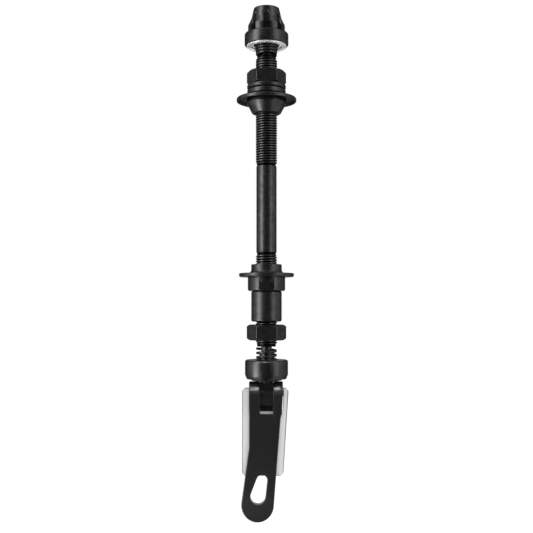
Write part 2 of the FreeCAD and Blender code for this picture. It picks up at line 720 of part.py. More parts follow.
def teardrop(body):
    """The hanging hole in the lever's blade: two circles and the lines that touch both."""
    sketch = body.newObject("Sketcher::SketchObject", "teardrop")
    attach(sketch, body, "XZ_Plane")
    pivot = size("pivot_level")
    big = FreeCAD.Vector(-size("hole_offset"), pivot - size("hole_depth"), 0)
    small = FreeCAD.Vector(-size("hole_neck_offset"), pivot - size("hole_neck_depth"), 0)
    big_radius, small_radius = size("hole_radius"), size("hole_neck_radius")
    reach = small - big
    heading = math.atan2(reach.y, reach.x)
    spread = math.acos((big_radius - small_radius) / reach.Length)
    left, right = heading + spread, heading - spread
    big_left, big_right = on_circle(big, big_radius, left), on_circle(big, big_radius, right)
    small_left, small_right = on_circle(small, small_radius, left), on_circle(small, small_radius, right)
    sketch.addGeometry(arc(big, big_radius, left, right + 2 * math.pi), False)
    sketch.addGeometry(Part.LineSegment(big_right, small_right), False)
    sketch.addGeometry(arc(small, small_radius, right, left), False)
    sketch.addGeometry(Part.LineSegment(small_left, big_left), False)
    for first, second in ((0, 1), (1, 2), (2, 3), (3, 0)):
        sketch.addConstraint(Sketcher.Constraint("Tangent", first, 2, second, 1))
    bind_point(sketch, 0, 3, "-dim.hole_offset", "dim.pivot_level - dim.hole_depth")
    bind_radius(sketch, 0, "dim.hole_radius")
    bind_point(sketch, 2, 3, "-dim.hole_neck_offset", "dim.pivot_level - dim.hole_neck_depth")
    bind_radius(sketch, 2, "dim.hole_neck_radius")
    return sketch


def studs(body, kind):
    """The cover plate's two studs, or their holes in the lever's back."""
    for depth in ("dim.stud_upper_depth", "dim.stud_lower_depth"):
        primitive(body, kind, "XZ_Plane", Radius="dim.stud_radius", Height="dim.stud_length",
                  AttachmentOffset__Base__x="-dim.stud_offset",
                  AttachmentOffset__Base__y=f"dim.pivot_level - {depth}",
                  AttachmentOffset__Base__z="-dim.blade_back")


def lever():
    """The forked cam lever: its side outline across its width, cut to its front outline."""
    body = new_body("lever")
    symmetric(body, lever_side(body), "Pad", "4 * dim.lever_tip_radius")
    depth = "4 * (dim.lobe_radius + dim.lobe_offset)"
    frame = lever_surround(body)
    outer = [("-4 * dim.lever_tip_radius", "dim.pivot_level + 4 * dim.lobe_radius"),
             ("4 * dim.lever_tip_radius", "dim.pivot_level + 4 * dim.lobe_radius"),
             ("4 * dim.lever_tip_radius", "dim.lever_tip_level - dim.lever_tip_radius"),
             ("-4 * dim.lever_tip_radius", "dim.lever_tip_level - dim.lever_tip_radius")]
    add_polygon(frame, outer)
    symmetric(body, frame, "Pocket", depth)
    round_outline(body, "dim.blade_edge_round")
    slot = polygon_sketch(body, "XZ_Plane", [
        ("-dim.slot_half_width", "dim.pivot_level + 2 * dim.lobe_radius"),
        ("dim.slot_half_width", "dim.pivot_level + 2 * dim.lobe_radius"),
        ("dim.slot_half_width", "dim.pivot_level - dim.slot_depth"),
        ("-dim.slot_half_width", "dim.pivot_level - dim.slot_depth"),
    ])
    symmetric(body, slot, "Pocket", depth)
    primitive(body, "AdditiveBox", "XY_Plane", Length="2 * dim.slot_half_width",
              Width="dim.blade_back - dim.web_front", Height="dim.web_bottom_depth - dim.web_top_depth",
              AttachmentOffset__Base__x="-dim.slot_half_width", AttachmentOffset__Base__y="dim.web_front",
              AttachmentOffset__Base__z="dim.pivot_level - dim.web_bottom_depth")
    symmetric(body, teardrop(body), "Pocket", depth)
    primitive(body, "SubtractiveCylinder", "YZ_Plane", Radius="dim.pin_radius",
              Height="dim.lever_left + dim.lever_right", AttachmentOffset__Base__y="dim.pivot_level",
              AttachmentOffset__Base__z="-dim.lever_left")
    studs(body, "SubtractiveCylinder")
    return body


def lever_plate():
    """The bright cover plate on the lever's back, notched round the fork."""
    body = new_body("lever_plate")
    top, bottom = "dim.pivot_level + dim.plate_rise", "dim.pivot_level - dim.plate_depth"
    notch = "dim.pivot_level - dim.plate_notch_depth"
    sketch = polygon_sketch(body, "XZ_Plane", [
        ("-dim.plate_left", top),
        ("-dim.lever_left - dim.plate_notch_play", top),
        ("-dim.lever_left - dim.plate_notch_play", notch),
        ("dim.lever_right + dim.plate_notch_play", notch),
        ("dim.lever_right + dim.plate_notch_play", top),
        ("dim.plate_right_top", top),
        ("dim.plate_right_bottom", bottom),
        ("-dim.plate_left", bottom),
    ])
    bind(sketch, AttachmentOffset__Base__z="-dim.blade_back - dim.plate_thickness")
    pad = body.newObject("PartDesign::Pad", "plate_sheet")
    pad.Profile = sketch
    bind(pad, Length="dim.plate_thickness")
    doc.recompute()
    corners = [(-size("plate_left"), size("plate_rise")), (size("plate_right_top"), size("plate_rise")),
               (size("plate_right_bottom"), -size("plate_depth")),
               (-size("plate_left"), -size("plate_depth"))]
    names = []
    for index, edge in enumerate(pad.Shape.Edges, start=1):
        middle = edge.CenterOfMass
        along_thickness = abs(edge.Length - size("plate_thickness")) < 1e-4
        spot = (middle.x, middle.z - size("pivot_level"))
        if along_thickness and any(math.dist(spot, corner) < 1e-4 for corner in corners):
            names.append(f"Edge{index}")
    rounded = body.newObject("PartDesign::Fillet", "plate_corners")
    rounded.Base = (pad, names)
    bind(rounded, Radius="dim.plate_corner")
    doc.recompute()
    studs(body, "AdditiveCylinder")
    return body


def serrated_washer():
    """The clamping ring, free to turn under the adjusting nut, with radial teeth on its face."""
    body = new_body("serrated_washer")
    inner = "dim.insert_skirt_radius + dim.ring_play"
    lip_room = "dim.insert_lip_radius + dim.ring_play"
    revolve(body, [
        (inner, "dim.ring_top"),
        ("dim.ring_radius", "dim.ring_top"),
        ("dim.ring_radius", "dim.ring_face"),
        (lip_room, "dim.ring_face"),
        (lip_room, "dim.insert_lip_top + dim.ring_play"),
        (inner, "dim.insert_lip_top + dim.ring_play"),
    ])
    tooth = polygon_sketch(body, "YZ_Plane", [
        ("-dim.ring_tooth_width / 2", "dim.ring_face"),
        ("dim.ring_tooth_width / 2", "dim.ring_face"),
        ("0", "dim.ring_face + dim.ring_tooth_depth"),
    ])
    cut = body.newObject("PartDesign::Pocket", "tooth_gap")
    cut.Profile = tooth
    cut.Reversed = True
    bind(cut, Length="2 * dim.ring_radius")
    doc.recompute()
    pattern_about_axis(body, cut, "dim.ring_tooth_count")
    return body


def knob():
    """The fluted adjusting nut: a waisted grip on a round collar, hollow for its insert and washer."""
    body = new_body("knob")
    revolve(body, [
        ("0", "dim.grip_base"),
        ("dim.knob_band_radius", "dim.grip_base"),
        ("dim.knob_band_radius", "dim.band_top"),
        ("dim.knob_waist_radius", "dim.waist_level"),
        ("dim.knob_crown_radius", "dim.knob_top"),
        ("0", "dim.knob_top"),
    ])
    round_rings(body, [("knob_crown_radius", "knob_top")], "dim.knob_crown_round")
    flute = primitive(body, "SubtractiveCone", "XY_Plane", Radius1="dim.flute_bottom_radius",
                      Radius2="dim.flute_top_radius", Height="dim.flute_length",
                      AttachmentOffset__Base__x="dim.flute_bottom_reach",
                      AttachmentOffset__Base__z="dim.grip_base")
    lean = FreeCAD.Rotation(FreeCAD.Vector(0, -1, 0), size("flute_lean"))
    flute.AttachmentOffset = FreeCAD.Placement(flute.AttachmentOffset.Base, lean)
    bind(flute, AttachmentOffset__Rotation__Angle="dim.flute_lean")
    doc.recompute()
    pattern_about_axis(body, flute, "dim.flute_count")
    end = primitive(body, "SubtractiveSphere", "XY_Plane", Radius="dim.flute_top_radius",
                    AttachmentOffset__Base__x="dim.flute_top_reach",
                    AttachmentOffset__Base__z="dim.flute_top_level")
    pattern_about_axis(body, end, "dim.flute_count")
    revolve(body, [
        ("0", "dim.knob_base"),
        ("dim.knob_collar_radius", "dim.knob_base"),
        ("dim.knob_collar_radius", "dim.grip_base"),
        ("0", "dim.grip_base"),
    ])
    round_rings(body, [("knob_collar_radius", "grip_base")], "dim.knob_collar_round")
    round_rings(body, [("knob_collar_radius", "knob_base")], "dim.knob_foot_round")
    revolve(body, [
        ("0", "dim.knob_base"),
        ("dim.ring_radius + dim.ring_play", "dim.knob_base"),
        ("dim.ring_radius + dim.ring_play", "dim.ring_top + dim.ring_play"),
        ("dim.insert_skirt_radius", "dim.ring_top + dim.ring_play"),
        ("dim.insert_skirt_radius", "dim.insert_shoulder"),
        ("dim.insert_core_radius", "dim.insert_shoulder"),
        ("dim.insert_core_radius", "dim.insert_top"),
        ("dim.rod_hole_radius", "dim.insert_top"),
        ("dim.rod_hole_radius", "dim.insert_top + dim.rod_end_room"),
        ("0", "dim.insert_top + dim.rod_end_room"),
    ], kind="PartDesign::Groove")
    return body


def thread_insert():
    """The metal nut inside the knob, with a spring seat and a lip that keeps the washer on."""
    body = new_body("thread_insert")
    thread = "dim.rod_radius + dim.rod_thread_play"
    revolve(body, [
        (thread, "dim.insert_top"),
        ("dim.insert_core_radius", "dim.insert_top"),
        ("dim.insert_core_radius", "dim.insert_shoulder"),
        ("dim.insert_skirt_radius", "dim.insert_shoulder"),
        ("dim.insert_skirt_radius", "dim.insert_lip_top"),
        ("dim.insert_lip_radius", "dim.insert_lip_top"),
        ("dim.insert_lip_radius", "dim.knob_base"),
        ("dim.spring_seat_radius", "dim.knob_base"),
        ("dim.spring_seat_radius", "dim.seat_floor"),
        (thread, "dim.seat_floor"),
    ])
    return body


os.makedirs("parts", exist_ok=True)
pieces = [
    hollow_axle(),
    lock_nut("upper_lock_nut", "dim.upper_nut_base", "0", "dim.upper_nut_height"),
    plain_ring("upper_lock_washer", "dim.axle_radius", "dim.lock_washer_radius",
               "dim.washer_base", "dim.upper_nut_base"),
    plain_ring("upper_spacer_ring", "dim.axle_radius", "dim.spacer_ring_radius",
               "dim.ring_base", "dim.washer_base"),
    upper_cone(),
    upper_dust_cap(),
    lower_cone(),
    lower_dust_cap(),
    plain_ring("spacer_sleeve", "(dim.axle_radius + dim.sleeve_clearance)", "dim.sleeve_radius",
               "dim.sleeve_base", "dim.sleeve_top"),
    lock_nut("lower_lock_nut", "dim.lower_nut_base", "dim.lower_nut_top", "dim.lower_nut_height"),
    coil_spring("upper_spring", "dim.upper_spring_radius", "dim.upper_spring_spread",
                "dim.upper_spring_turns", "dim.upper_spring_base", "dim.upper_spring_height"),
    coil_spring("lower_spring", "dim.lower_spring_radius", "0",
                "dim.lower_spring_turns", "dim.lower_spring_base", "dim.lower_spring_height"),
    lever_collar(),
    cam_saddle(),
    draw_rod(),
    pivot_pin(),
    lever(),
    lever_plate(),
    serrated_washer(),
    knob(),
    thread_insert(),
]

for item in doc.Objects:
    if "Invalid" in item.State or "Error" in item.State:
        raise RuntimeError(f"{item.Label} did not build: {item.State}")
for piece in pieces:
    if piece.Shape.isNull() or not piece.Shape.isValid():
        raise RuntimeError(f"{piece.Label} is not a valid solid")
for piece in pieces:
    piece.Shape.exportStep(f"parts/{piece.Label}.step")
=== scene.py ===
import json
import math

import bmesh
import bpy
from bpy.props import FloatProperty, FloatVectorProperty, IntProperty, PointerProperty
from mathutils import Matrix, Vector

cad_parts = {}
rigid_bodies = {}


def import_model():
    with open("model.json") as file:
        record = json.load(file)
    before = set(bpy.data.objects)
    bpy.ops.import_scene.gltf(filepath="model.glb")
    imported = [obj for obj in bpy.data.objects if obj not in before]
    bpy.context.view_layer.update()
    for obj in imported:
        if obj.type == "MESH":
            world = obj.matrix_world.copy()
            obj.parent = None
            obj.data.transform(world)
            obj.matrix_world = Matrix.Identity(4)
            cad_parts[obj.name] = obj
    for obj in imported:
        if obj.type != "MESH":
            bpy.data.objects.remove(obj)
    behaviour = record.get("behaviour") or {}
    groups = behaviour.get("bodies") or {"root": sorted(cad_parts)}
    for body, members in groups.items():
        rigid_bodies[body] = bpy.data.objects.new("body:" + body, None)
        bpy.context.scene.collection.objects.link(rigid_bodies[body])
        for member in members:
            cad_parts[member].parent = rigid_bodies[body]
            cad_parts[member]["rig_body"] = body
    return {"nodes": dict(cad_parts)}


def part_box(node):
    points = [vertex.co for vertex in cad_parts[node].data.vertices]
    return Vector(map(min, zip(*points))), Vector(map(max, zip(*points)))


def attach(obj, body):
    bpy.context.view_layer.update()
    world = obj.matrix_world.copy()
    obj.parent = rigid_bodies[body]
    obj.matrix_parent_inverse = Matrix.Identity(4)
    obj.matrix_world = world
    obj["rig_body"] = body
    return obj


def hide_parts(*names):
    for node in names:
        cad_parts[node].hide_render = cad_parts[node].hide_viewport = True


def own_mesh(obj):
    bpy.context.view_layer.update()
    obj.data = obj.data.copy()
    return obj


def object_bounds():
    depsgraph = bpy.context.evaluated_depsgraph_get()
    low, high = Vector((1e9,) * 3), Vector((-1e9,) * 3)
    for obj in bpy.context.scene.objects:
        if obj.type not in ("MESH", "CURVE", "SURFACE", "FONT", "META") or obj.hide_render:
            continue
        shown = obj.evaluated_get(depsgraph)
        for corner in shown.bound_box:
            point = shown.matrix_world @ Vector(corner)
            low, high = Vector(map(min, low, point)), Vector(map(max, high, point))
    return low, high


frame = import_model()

bl_info = {
    "name": "Quick release axle",
    "version": (1, 0, 0),
    "blender": (4, 5, 0),
    "location": "3D View > Sidebar > Quick axle",
    "description": "Dresses a bicycle hub axle with its cones, springs, cam lever and adjusting nut",
    "category": "Object",
}

CAD_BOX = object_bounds()
AXLE_FOOT, AXLE_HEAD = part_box("hollow_axle")
UPPER_SPRING_FOOT, UPPER_SPRING_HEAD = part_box("upper_spring")
LOWER_SPRING_FOOT, LOWER_SPRING_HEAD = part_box("lower_spring")
KNOB_FOOT, KNOB_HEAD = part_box("knob")
ROD_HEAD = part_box("draw_rod")[1]
PLATE_FOOT, PLATE_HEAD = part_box("lever_plate")
SADDLE_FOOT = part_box("cam_saddle")[0]
PIVOT_LEVEL = (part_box("pivot_pin")[0].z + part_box("pivot_pin")[1].z) / 2.0

# Mesh limits, lengths in metres: points nearer than WELD are one point, levels and radii that differ by less than
# SLACK are equal, a broken edge needs EDGE_ROOM times its width beside it, and FLAT_DEGREES still counts as flat.
WELD = 0.000002
SLACK = 0.000001
EDGE_ROOM = 1.3
FLAT_DEGREES = 0.4

# The thread ridge: half its foot as a share of the pitch, and its reach below the root as a share of its depth.
RIDGE_FOOT = 0.47
RIDGE_SUNK = -0.1

# The knob's mesh: steps round each flute, and the length of a step up the grip.
FLUTE_SEGMENTS = 40
GRIP_STEP = 0.0002

# Painted light: painted shade in a thread's root and a painted highlight on its crest, painted shade along the
# plate's outermost rim and on its back.
ROOT_PAINTED_SHADE, CREST_PAINTED_HIGHLIGHT = -0.95, 0.8
RIM_WIDTH, RIM_PAINTED_SHADE = 0.0002, 0.25
BACK_PAINTED_SHADE = 0.35

# The stage: the lamps' aims below the pivot, the floor, and the card that only reflections see.
FORK_DROP = 0.002
TIP_ASIDE, TIP_DROP = -0.004, 0.046
WHITE = (1.0, 1.0, 1.0, 1.0)
FLOOR_HALF, FLOOR_GREY, FLOOR_GLOW = 6.0, (0.6, 0.6, 0.6, 1.0), 0.45
CARD_HALF, CARD_NEAR, CARD_FAR = 0.48, -0.02, -0.6
CARD_LIFT, CARD_RISE, CARD_BLACK = 0.002, 1.2, (0.01, 0.01, 0.01, 1.0)


def length(name, description, default):
    """A size in metres that the sidebar shows in the scene's own unit."""
    return FloatProperty(name=name, description=description, default=default, precision=5, unit="LENGTH")


def ratio(name, description, default):
    """A number without a unit."""
    return FloatProperty(name=name, description=description, default=default, precision=3)


def coil_count(name, description, default):
    """A count of coils, which needn't be whole."""
    return FloatProperty(name=name, description=description, default=default, min=1.0)


def power(name, description, default):
    """A lamp's power in watts."""
    return FloatProperty(name=name, description=description, default=default, precision=5, unit="POWER")


def colour(name, description, default):
    """A finish's base colour."""
    return FloatVectorProperty(
        name=name, description=description, default=default, min=0.0, max=1.0, size=3, subtype="COLOR"
    )


class QUICKAXLE_PG_axle(bpy.types.PropertyGroup):
    """Sizes of the hollow axle and its thread."""

    pitch: length("Thread pitch", "From one thread crest to the next", 0.00116)
    thread_depth: length("Thread depth", "From the crest down to the root", 0.00062)
    crest_width: length("Crest width", "Flat left on top of each thread ridge", 0.0003)
    shank_radius: length("Shank radius", "Plain middle of the axle", 0.00472)
    shank_top: length("Shank top", "Level where the upper thread ends", -0.0445)
    shank_foot: length("Shank foot", "Level where the lower thread begins", -0.0845)
    bore_radius: length("Bore radius", "Hole for the draw rod", 0.0028)
    chamfer: length("End chamfer", "Bevel on both ends of the axle", 0.0006)


class QUICKAXLE_PG_springs(bpy.types.PropertyGroup):
    """Sizes of the two return springs."""

    wire_radius: length("Wire radius", "Half the thickness of the spring wire", 0.00064)
    upper_turns: coil_count("Upper turns", "Coils of the upper spring", 5.0)
    upper_small_radius: length("Upper small radius", "Wire line of the upper spring's narrow end", 0.0043)
    lower_turns: coil_count("Lower turns", "Coils of the lower spring", 4.5)
    facets: IntProperty(name="Wire facets", description="Sides of the round wire", default=14, min=6)


class QUICKAXLE_PG_knob(bpy.types.PropertyGroup):
    """Sizes of the fluted adjusting nut. Levels count from its foot."""

    ring_seat_radius: length("Ring seat radius", "Recess for the serrated washer", 0.0095)
    ring_seat: length("Ring seat", "Depth of that recess", 0.00175)
    skirt_radius: length("Insert skirt radius", "Seat of the thread insert's skirt", 0.00645)
    skirt_level: length("Insert shoulder", "Top of that seat", 0.0043)
    core_radius: length("Insert core radius", "Seat of the thread insert's core", 0.0046)
    core_level: length("Insert top", "Top of that seat", 0.0124)
    rod_radius: length("Rod hole radius", "Room for the draw rod", 0.0028)
    rod_level: length("Rod hole top", "Top of that room", 0.0151)
    collar_level: length("Collar top", "Top of the round collar", 0.0058)
    collar_round: length("Collar round", "Rounded upper edge of the collar", 0.0011)
    foot_round: length("Foot round", "Rounded lower edge of the collar", 0.0006)
    band_radius: length("Band radius", "Straight foot of the grip", 0.0087)
    band_level: length("Band top", "Top of that foot", 0.0091)
    waist_radius: length("Waist radius", "Middle of the grip", 0.00715)
    waist_level: length("Waist level", "Height of that middle", 0.0123)
    crown_radius: length("Crown radius", "Top of the grip", 0.0059)
    crown_round: length("Crown round", "Rounded edge of the top", 0.0009)
    flute_count: IntProperty(name="Flutes", description="Slots round the grip", default=8, min=3)
    flute_width: length("Flute width", "From side to side of a slot", 0.0029)
    flute_floor_foot: length("Flute floor, foot", "Radius of a slot's floor at the grip's foot", 0.0070)
    flute_floor_top: length("Flute floor, top", "Radius of a slot's floor at its upper end", 0.0061)
    flute_flank: length("Flute flank", "Width of a slot's sloped side", 0.00035)
    flute_top: length("Flute top", "Height of a slot's rounded end", 0.0148)


class QUICKAXLE_PG_fits(bpy.types.PropertyGroup):
    """Where the rod, the saddle and the plate come close to the lever's fork. Heights count from the pivot."""

    shoulder_foot: length("Shoulder foot", "Lower end of the rod's shoulders", 0.0018)
    shoulder_top: length("Shoulder top", "Upper end of the rod's shoulders", 0.00475)
    shoulder_depth: length("Shoulder depth", "Half the shoulders' size from front to back", 0.0025)
    rod_radius: length("Rod radius", "Wider than the rod and narrower than its eye", 0.0027)
    eye_growth: length("Eye growth", "How far the eye's sides move to the fork", 0.00008)
    nose_depth: length("Nose depth", "Where the eye's round nose begins, below the pivot", 0.0033)
    nose_stretch: ratio("Nose stretch", "How far the eye's nose is drawn down", 1.065)
    lug_foot: length("Lug foot", "Lower end of the saddle's lug", 0.0036)
    lug_front: length("Lug front", "Front face of that lug, behind the axle's line", 0.0027)
    lug_back: length("Lug back", "Back face of that lug", 0.0044)
    lug_root: length("Lug root", "How far the lug reaches up into the saddle", 0.0003)
    notch_left: length("Notch left", "Left side of the plate's notch", 0.0084)
    notch_right: length("Notch right", "Right side of the plate's notch", 0.0081)
    notch_depth: length("Notch depth", "How far the notch reaches below the pivot", 0.0084)
    notch_shift_left: length("Left shift", "How far that left side moves to the fork", 0.00025)
    notch_shift_right: length("Right shift", "How far that right side moves to the fork", 0.0005)
    plate_right_foot: length("Plate right foot", "The plate's right side at its lower end", 0.0078)
    # Width of the painted shade along the plate's rim.
    plate_shade_border: length("Plate border", "Width of the plate's darker border", 0.0006)
    # The plate's back is given painted shade to this depth.
    plate_back_shade_depth: length("Plate back", "How deep the duller skin of the plate's back reaches", 0.0003)


class QUICKAXLE_PG_edges(bpy.types.PropertyGroup):
    """Widths of the broken edges that catch the light."""

    nut: length("Nut edges", "Broken edge of the lock nuts, rings and sleeve", 0.00025)
    cone: length("Cone edges", "Broken edge of the bearing cones and dust caps", 0.00022)
    collar: length("Collar edges", "Broken edge of the lever's collar and saddle", 0.00022)
    lever: length("Lever edges", "Broken edge of the cam lever's slot and hole", 0.0003)
    rod: length("Rod edges", "Broken edge of the draw rod and the pivot pin", 0.00008)
    plate: length("Plate edges", "Rounded edge of the cover plate", 0.00022)
    insert: length("Insert edges", "Broken edge of the thread insert", 0.00014)
    teeth: length("Tooth edges", "Broken edge of the serrated washer's teeth", 0.00005)


class QUICKAXLE_PG_finishes(bpy.types.PropertyGroup):
    """Base colours of the finishes."""

    black_steel: colour("Black steel", "Blackened axle, nuts and cones", (0.040, 0.040, 0.042))
    spring_wire: colour("Spring wire", "Blackened spring wire", (0.040, 0.040, 0.042))
    anodised: colour("Anodised", "Black anodised adjusting nut and collar", (0.040, 0.040, 0.042))
    saddle: colour("Saddle", "Matt black cam saddle", (0.012, 0.012, 0.013))
    lever_coat: colour("Lever coat", "Satin black coat of the cam lever", (0.008, 0.008, 0.009))
    plate: colour("Cover plate", "Satin aluminium of the cover plate", (0.85, 0.86, 0.88))
    bright_steel: colour("Bright steel", "Bright plated washer and thread insert", (0.72, 0.72, 0.73))


class QUICKAXLE_PG_stage(bpy.types.PropertyGroup):
    """Camera, lamps and floor."""

    lens: FloatProperty(name="Lens", description="Focal length of the camera", default=59.15, unit="CAMERA")
    distance: length("Distance", "From the axle's line to the camera", 0.4065)
    eye_level: length("Eye level", "Height of the camera", -0.110)
    aim_level: length("Aim level", "Height that the camera looks at", -0.1002)
    rise: ratio("Rise", "Upward shift of the lens, as a share of the frame", 0.037)
    key_watts: power("Key lamp", "Tall softbox on the left", 17.0)
    fill_watts: power("Fill lamp", "Tall softbox on the right", 5.2)
    front_watts: power("Front lamp", "Softbox near the camera, without gloss", 1.7)
    low_watts: power("Low lamp", "Small softbox low on the left", 0.9)
    fork_watts: power("Fork lamp", "Small softbox above the fork", 0.0019)
    tip_watts: power("Tip lamp", "Small softbox at the lever's tip", 0.00012)
    floor_drop: length("Floor drop", "From the lever's tip down to the floor", 0.06)


class QUICKAXLE_PG_all(bpy.types.PropertyGroup):
    """Everything that the sidebar offers."""

    axle: PointerProperty(type=QUICKAXLE_PG_axle)
    springs: PointerProperty(type=QUICKAXLE_PG_springs)
    knob: PointerProperty(type=QUICKAXLE_PG_knob)
    fits: PointerProperty(type=QUICKAXLE_PG_fits)
    edges: PointerProperty(type=QUICKAXLE_PG_edges)
    finishes: PointerProperty(type=QUICKAXLE_PG_finishes)
    stage: PointerProperty(type=QUICKAXLE_PG_stage)


def fill(tree, node, inputs):
    """Links a node's inputs to other nodes' outputs, or gives them plain values."""
    for name, value in inputs.items():
        if isinstance(value, bpy.types.NodeSocket):
            tree.links.new(value, node.inputs[name])
        else:
            node.inputs[name].default_value = value


def add_node(tree, kind, inputs=None, **settings):
    """A new node of a tree with its settings and its inputs."""
    node = tree.nodes.new(kind)
    for name, value in settings.items():
        setattr(node, name, value)
    fill(tree, node, inputs or {})
    return node


def calculate(tree, operation, first, second):
    """The result of one sum in a node tree."""
    node = add_node(tree, "ShaderNodeMath", {0: first, 1: second}, operation=operation)
    return node.outputs[0]


def shape_tree(name, sizes):
    """A Geometry Nodes tree with the named sizes and a material as its inputs."""
    tree = bpy.data.node_groups.new(name, "GeometryNodeTree")
    for label in sizes:
        tree.interface.new_socket(name=label, in_out="INPUT", socket_type="NodeSocketFloat")
    tree.interface.new_socket(name="Finish", in_out="INPUT", socket_type="NodeSocketMaterial")
    tree.interface.new_socket(name="Geometry", in_out="OUTPUT", socket_type="NodeSocketGeometry")
    return tree, tree.nodes.new("NodeGroupInput").outputs


def close_tree(tree, geometry, finish):
    """Ends a tree in real geometry with its finish."""
    real = add_node(tree, "GeometryNodeRealizeInstances", {"Geometry": geometry})
    painted = add_node(tree, "GeometryNodeSetMaterial", {"Geometry": real.outputs[0], "Material": finish})
    add_node(tree, "NodeGroupOutput", {"Geometry": painted.outputs[0]})
    return tree


def thread_tree():
    """One thread ridge that winds round the axle and runs out at both ends."""
    tree, sizes = shape_tree("thread ridge", ("Pitch", "Length", "Root radius", "Depth", "Crest width"))
    turns = calculate(tree, "DIVIDE", sizes["Length"], sizes["Pitch"])
    path = add_node(
        tree,
        "GeometryNodeCurveSpiral",
        {
            "Resolution": 56,
            "Rotations": turns,
            "Start Radius": sizes["Root radius"],
            "End Radius": sizes["Root radius"],
            "Height": sizes["Length"],
            "Reverse": True,
        },
    )
    upright = add_node(tree, "GeometryNodeSetCurveNormal", {"Curve": path.outputs[0]}, mode="Z_UP")
    foot = calculate(tree, "MULTIPLY", sizes["Pitch"], RIDGE_FOOT)
    crest = calculate(tree, "MULTIPLY", sizes["Crest width"], 0.5)
    sunk = calculate(tree, "MULTIPLY", sizes["Depth"], RIDGE_SUNK)
    corners = {}
    for label, reach, half, side in (
        ("Point 1", sunk, foot, -1.0),
        ("Point 2", sizes["Depth"], crest, -1.0),
        ("Point 3", sizes["Depth"], crest, 1.0),
        ("Point 4", sunk, foot, 1.0),
    ):
        height = calculate(tree, "MULTIPLY", half, side)
        corners[label] = add_node(tree, "ShaderNodeCombineXYZ", {"X": reach, "Y": height}).outputs[0]
    ridge = add_node(tree, "GeometryNodeCurvePrimitiveQuadrilateral", corners, mode="POINTS")
    along = add_node(tree, "GeometryNodeSplineParameter").outputs["Factor"]
    from_foot = calculate(tree, "MULTIPLY", along, turns)
    from_head = calculate(tree, "SUBTRACT", turns, from_foot)
    run_out = calculate(tree, "MINIMUM", calculate(tree, "MINIMUM", from_foot, from_head), 1.0)
    sweep = add_node(
        tree,
        "GeometryNodeCurveToMesh",
        {"Curve": upright.outputs[0], "Profile Curve": ridge.outputs[0], "Scale": run_out, "Fill Caps": True},
    )
    return close_tree(tree, sweep.outputs[0], sizes["Finish"])


def spring_tree():
    """A round wire that winds up from one coil radius to another."""
    labels = ("Turns", "Foot radius", "Head radius", "Height", "Wire radius", "Facets")
    tree, sizes = shape_tree("coil spring", labels)
    path = add_node(
        tree,
        "GeometryNodeCurveSpiral",
        {
            "Resolution": 48,
            "Rotations": sizes["Turns"],
            "Start Radius": sizes["Foot radius"],
            "End Radius": sizes["Head radius"],
            "Height": sizes["Height"],
            "Reverse": True,
        },
    )
    upright = add_node(tree, "GeometryNodeSetCurveNormal", {"Curve": path.outputs[0]}, mode="Z_UP")
    wire = add_node(
        tree,
        "GeometryNodeCurvePrimitiveCircle",
        {"Resolution": sizes["Facets"], "Radius": sizes["Wire radius"]},
    )
    sweep = add_node(
        tree,
        "GeometryNodeCurveToMesh",
        {"Curve": upright.outputs[0], "Profile Curve": wire.outputs["Curve"], "Fill Caps": True},
    )
    return close_tree(tree, sweep.outputs[0], sizes["Finish"])


def grown_mesh(tree, level, finish, sizes):
    """The plain mesh that a tree makes from these sizes, lifted to a level."""
    holder = bpy.data.objects.new(tree.name, bpy.data.meshes.new(tree.name))
    bpy.context.scene.collection.objects.link(holder)
    modifier = holder.modifiers.new("Shape", "NODES")
    modifier.node_group = tree
    values = {**sizes, "Finish": finish}
    for item in tree.interface.items_tree:
        if item.in_out == "INPUT":
            modifier[item.identifier] = values[item.name]
    shaped = holder.evaluated_get(bpy.context.evaluated_depsgraph_get())
    mesh = bpy.data.meshes.new_from_object(shaped)
    mesh.transform(Matrix.Translation((0.0, 0.0, level)))
    holder.modifiers.remove(modifier)
    bpy.data.objects.remove(holder)
    return mesh


def turned_form(profile, segments, carve=None):
    """The closed form that a loop of (radius, level) corners makes when it turns about the axle's line."""
    form = bmesh.new()
    rings = []
    for radius, level in profile:
        ring = []
        for step in range(segments if radius else 1):
            angle = 2.0 * math.pi * step / segments
            reach = carve(radius, level, angle) if carve else radius
            ring.append(form.verts.new((reach * math.cos(angle), reach * math.sin(angle), level)))
        rings.append(ring)
    for ring, following in zip(rings, rings[1:] + rings[:1]):
        if len(ring) == len(following) == 1:
            continue
        for step in range(segments):
            ahead = (step + 1) % segments
            places = ((ring, step), (ring, ahead), (following, ahead), (following, step))
            corners = [side[at % len(side)] for side, at in places]
            form.faces.new(dict.fromkeys(corners))
    bmesh.ops.recalc_face_normals(form, faces=form.faces)
    return form


def rounded(profile, corner, radius, steps=5):
    """A profile with one of its corners replaced by an arc."""
    before, point, after = (Vector(profile[corner + offset]) for offset in (-1, 0, 1))
    arrive, leave = (before - point).normalized(), (after - point).normalized()
    half = arrive.angle(leave) / 2.0
    reach = radius / math.tan(half)
    centre = point + (arrive + leave).normalized() * (radius / math.sin(half))
    start, end = point + arrive * reach - centre, point + leave * reach - centre
    arc = [centre + start.slerp(end, step / steps) * radius for step in range(steps + 1)]
    return profile[:corner] + [tuple(place) for place in arc] + profile[corner + 1:]


def divided(profile, first, last, pitch):
    """A profile whose stretches from one corner to another are cut into short steps."""
    dense = []
    for at, (start, end) in enumerate(zip(profile, profile[1:])):
        start, end = Vector(start), Vector(end)
        steps = max(1, round((end - start).length / pitch)) if first <= at < last else 1
        dense += [tuple(start.lerp(end, step / steps)) for step in range(steps)]
    return dense + [profile[-1]]


def smooth(mesh, degrees):
    """Smooth shading that keeps edges sharper than this angle crisp."""
    mesh.shade_smooth()
    mesh.set_sharp_from_angle(angle=math.radians(degrees))


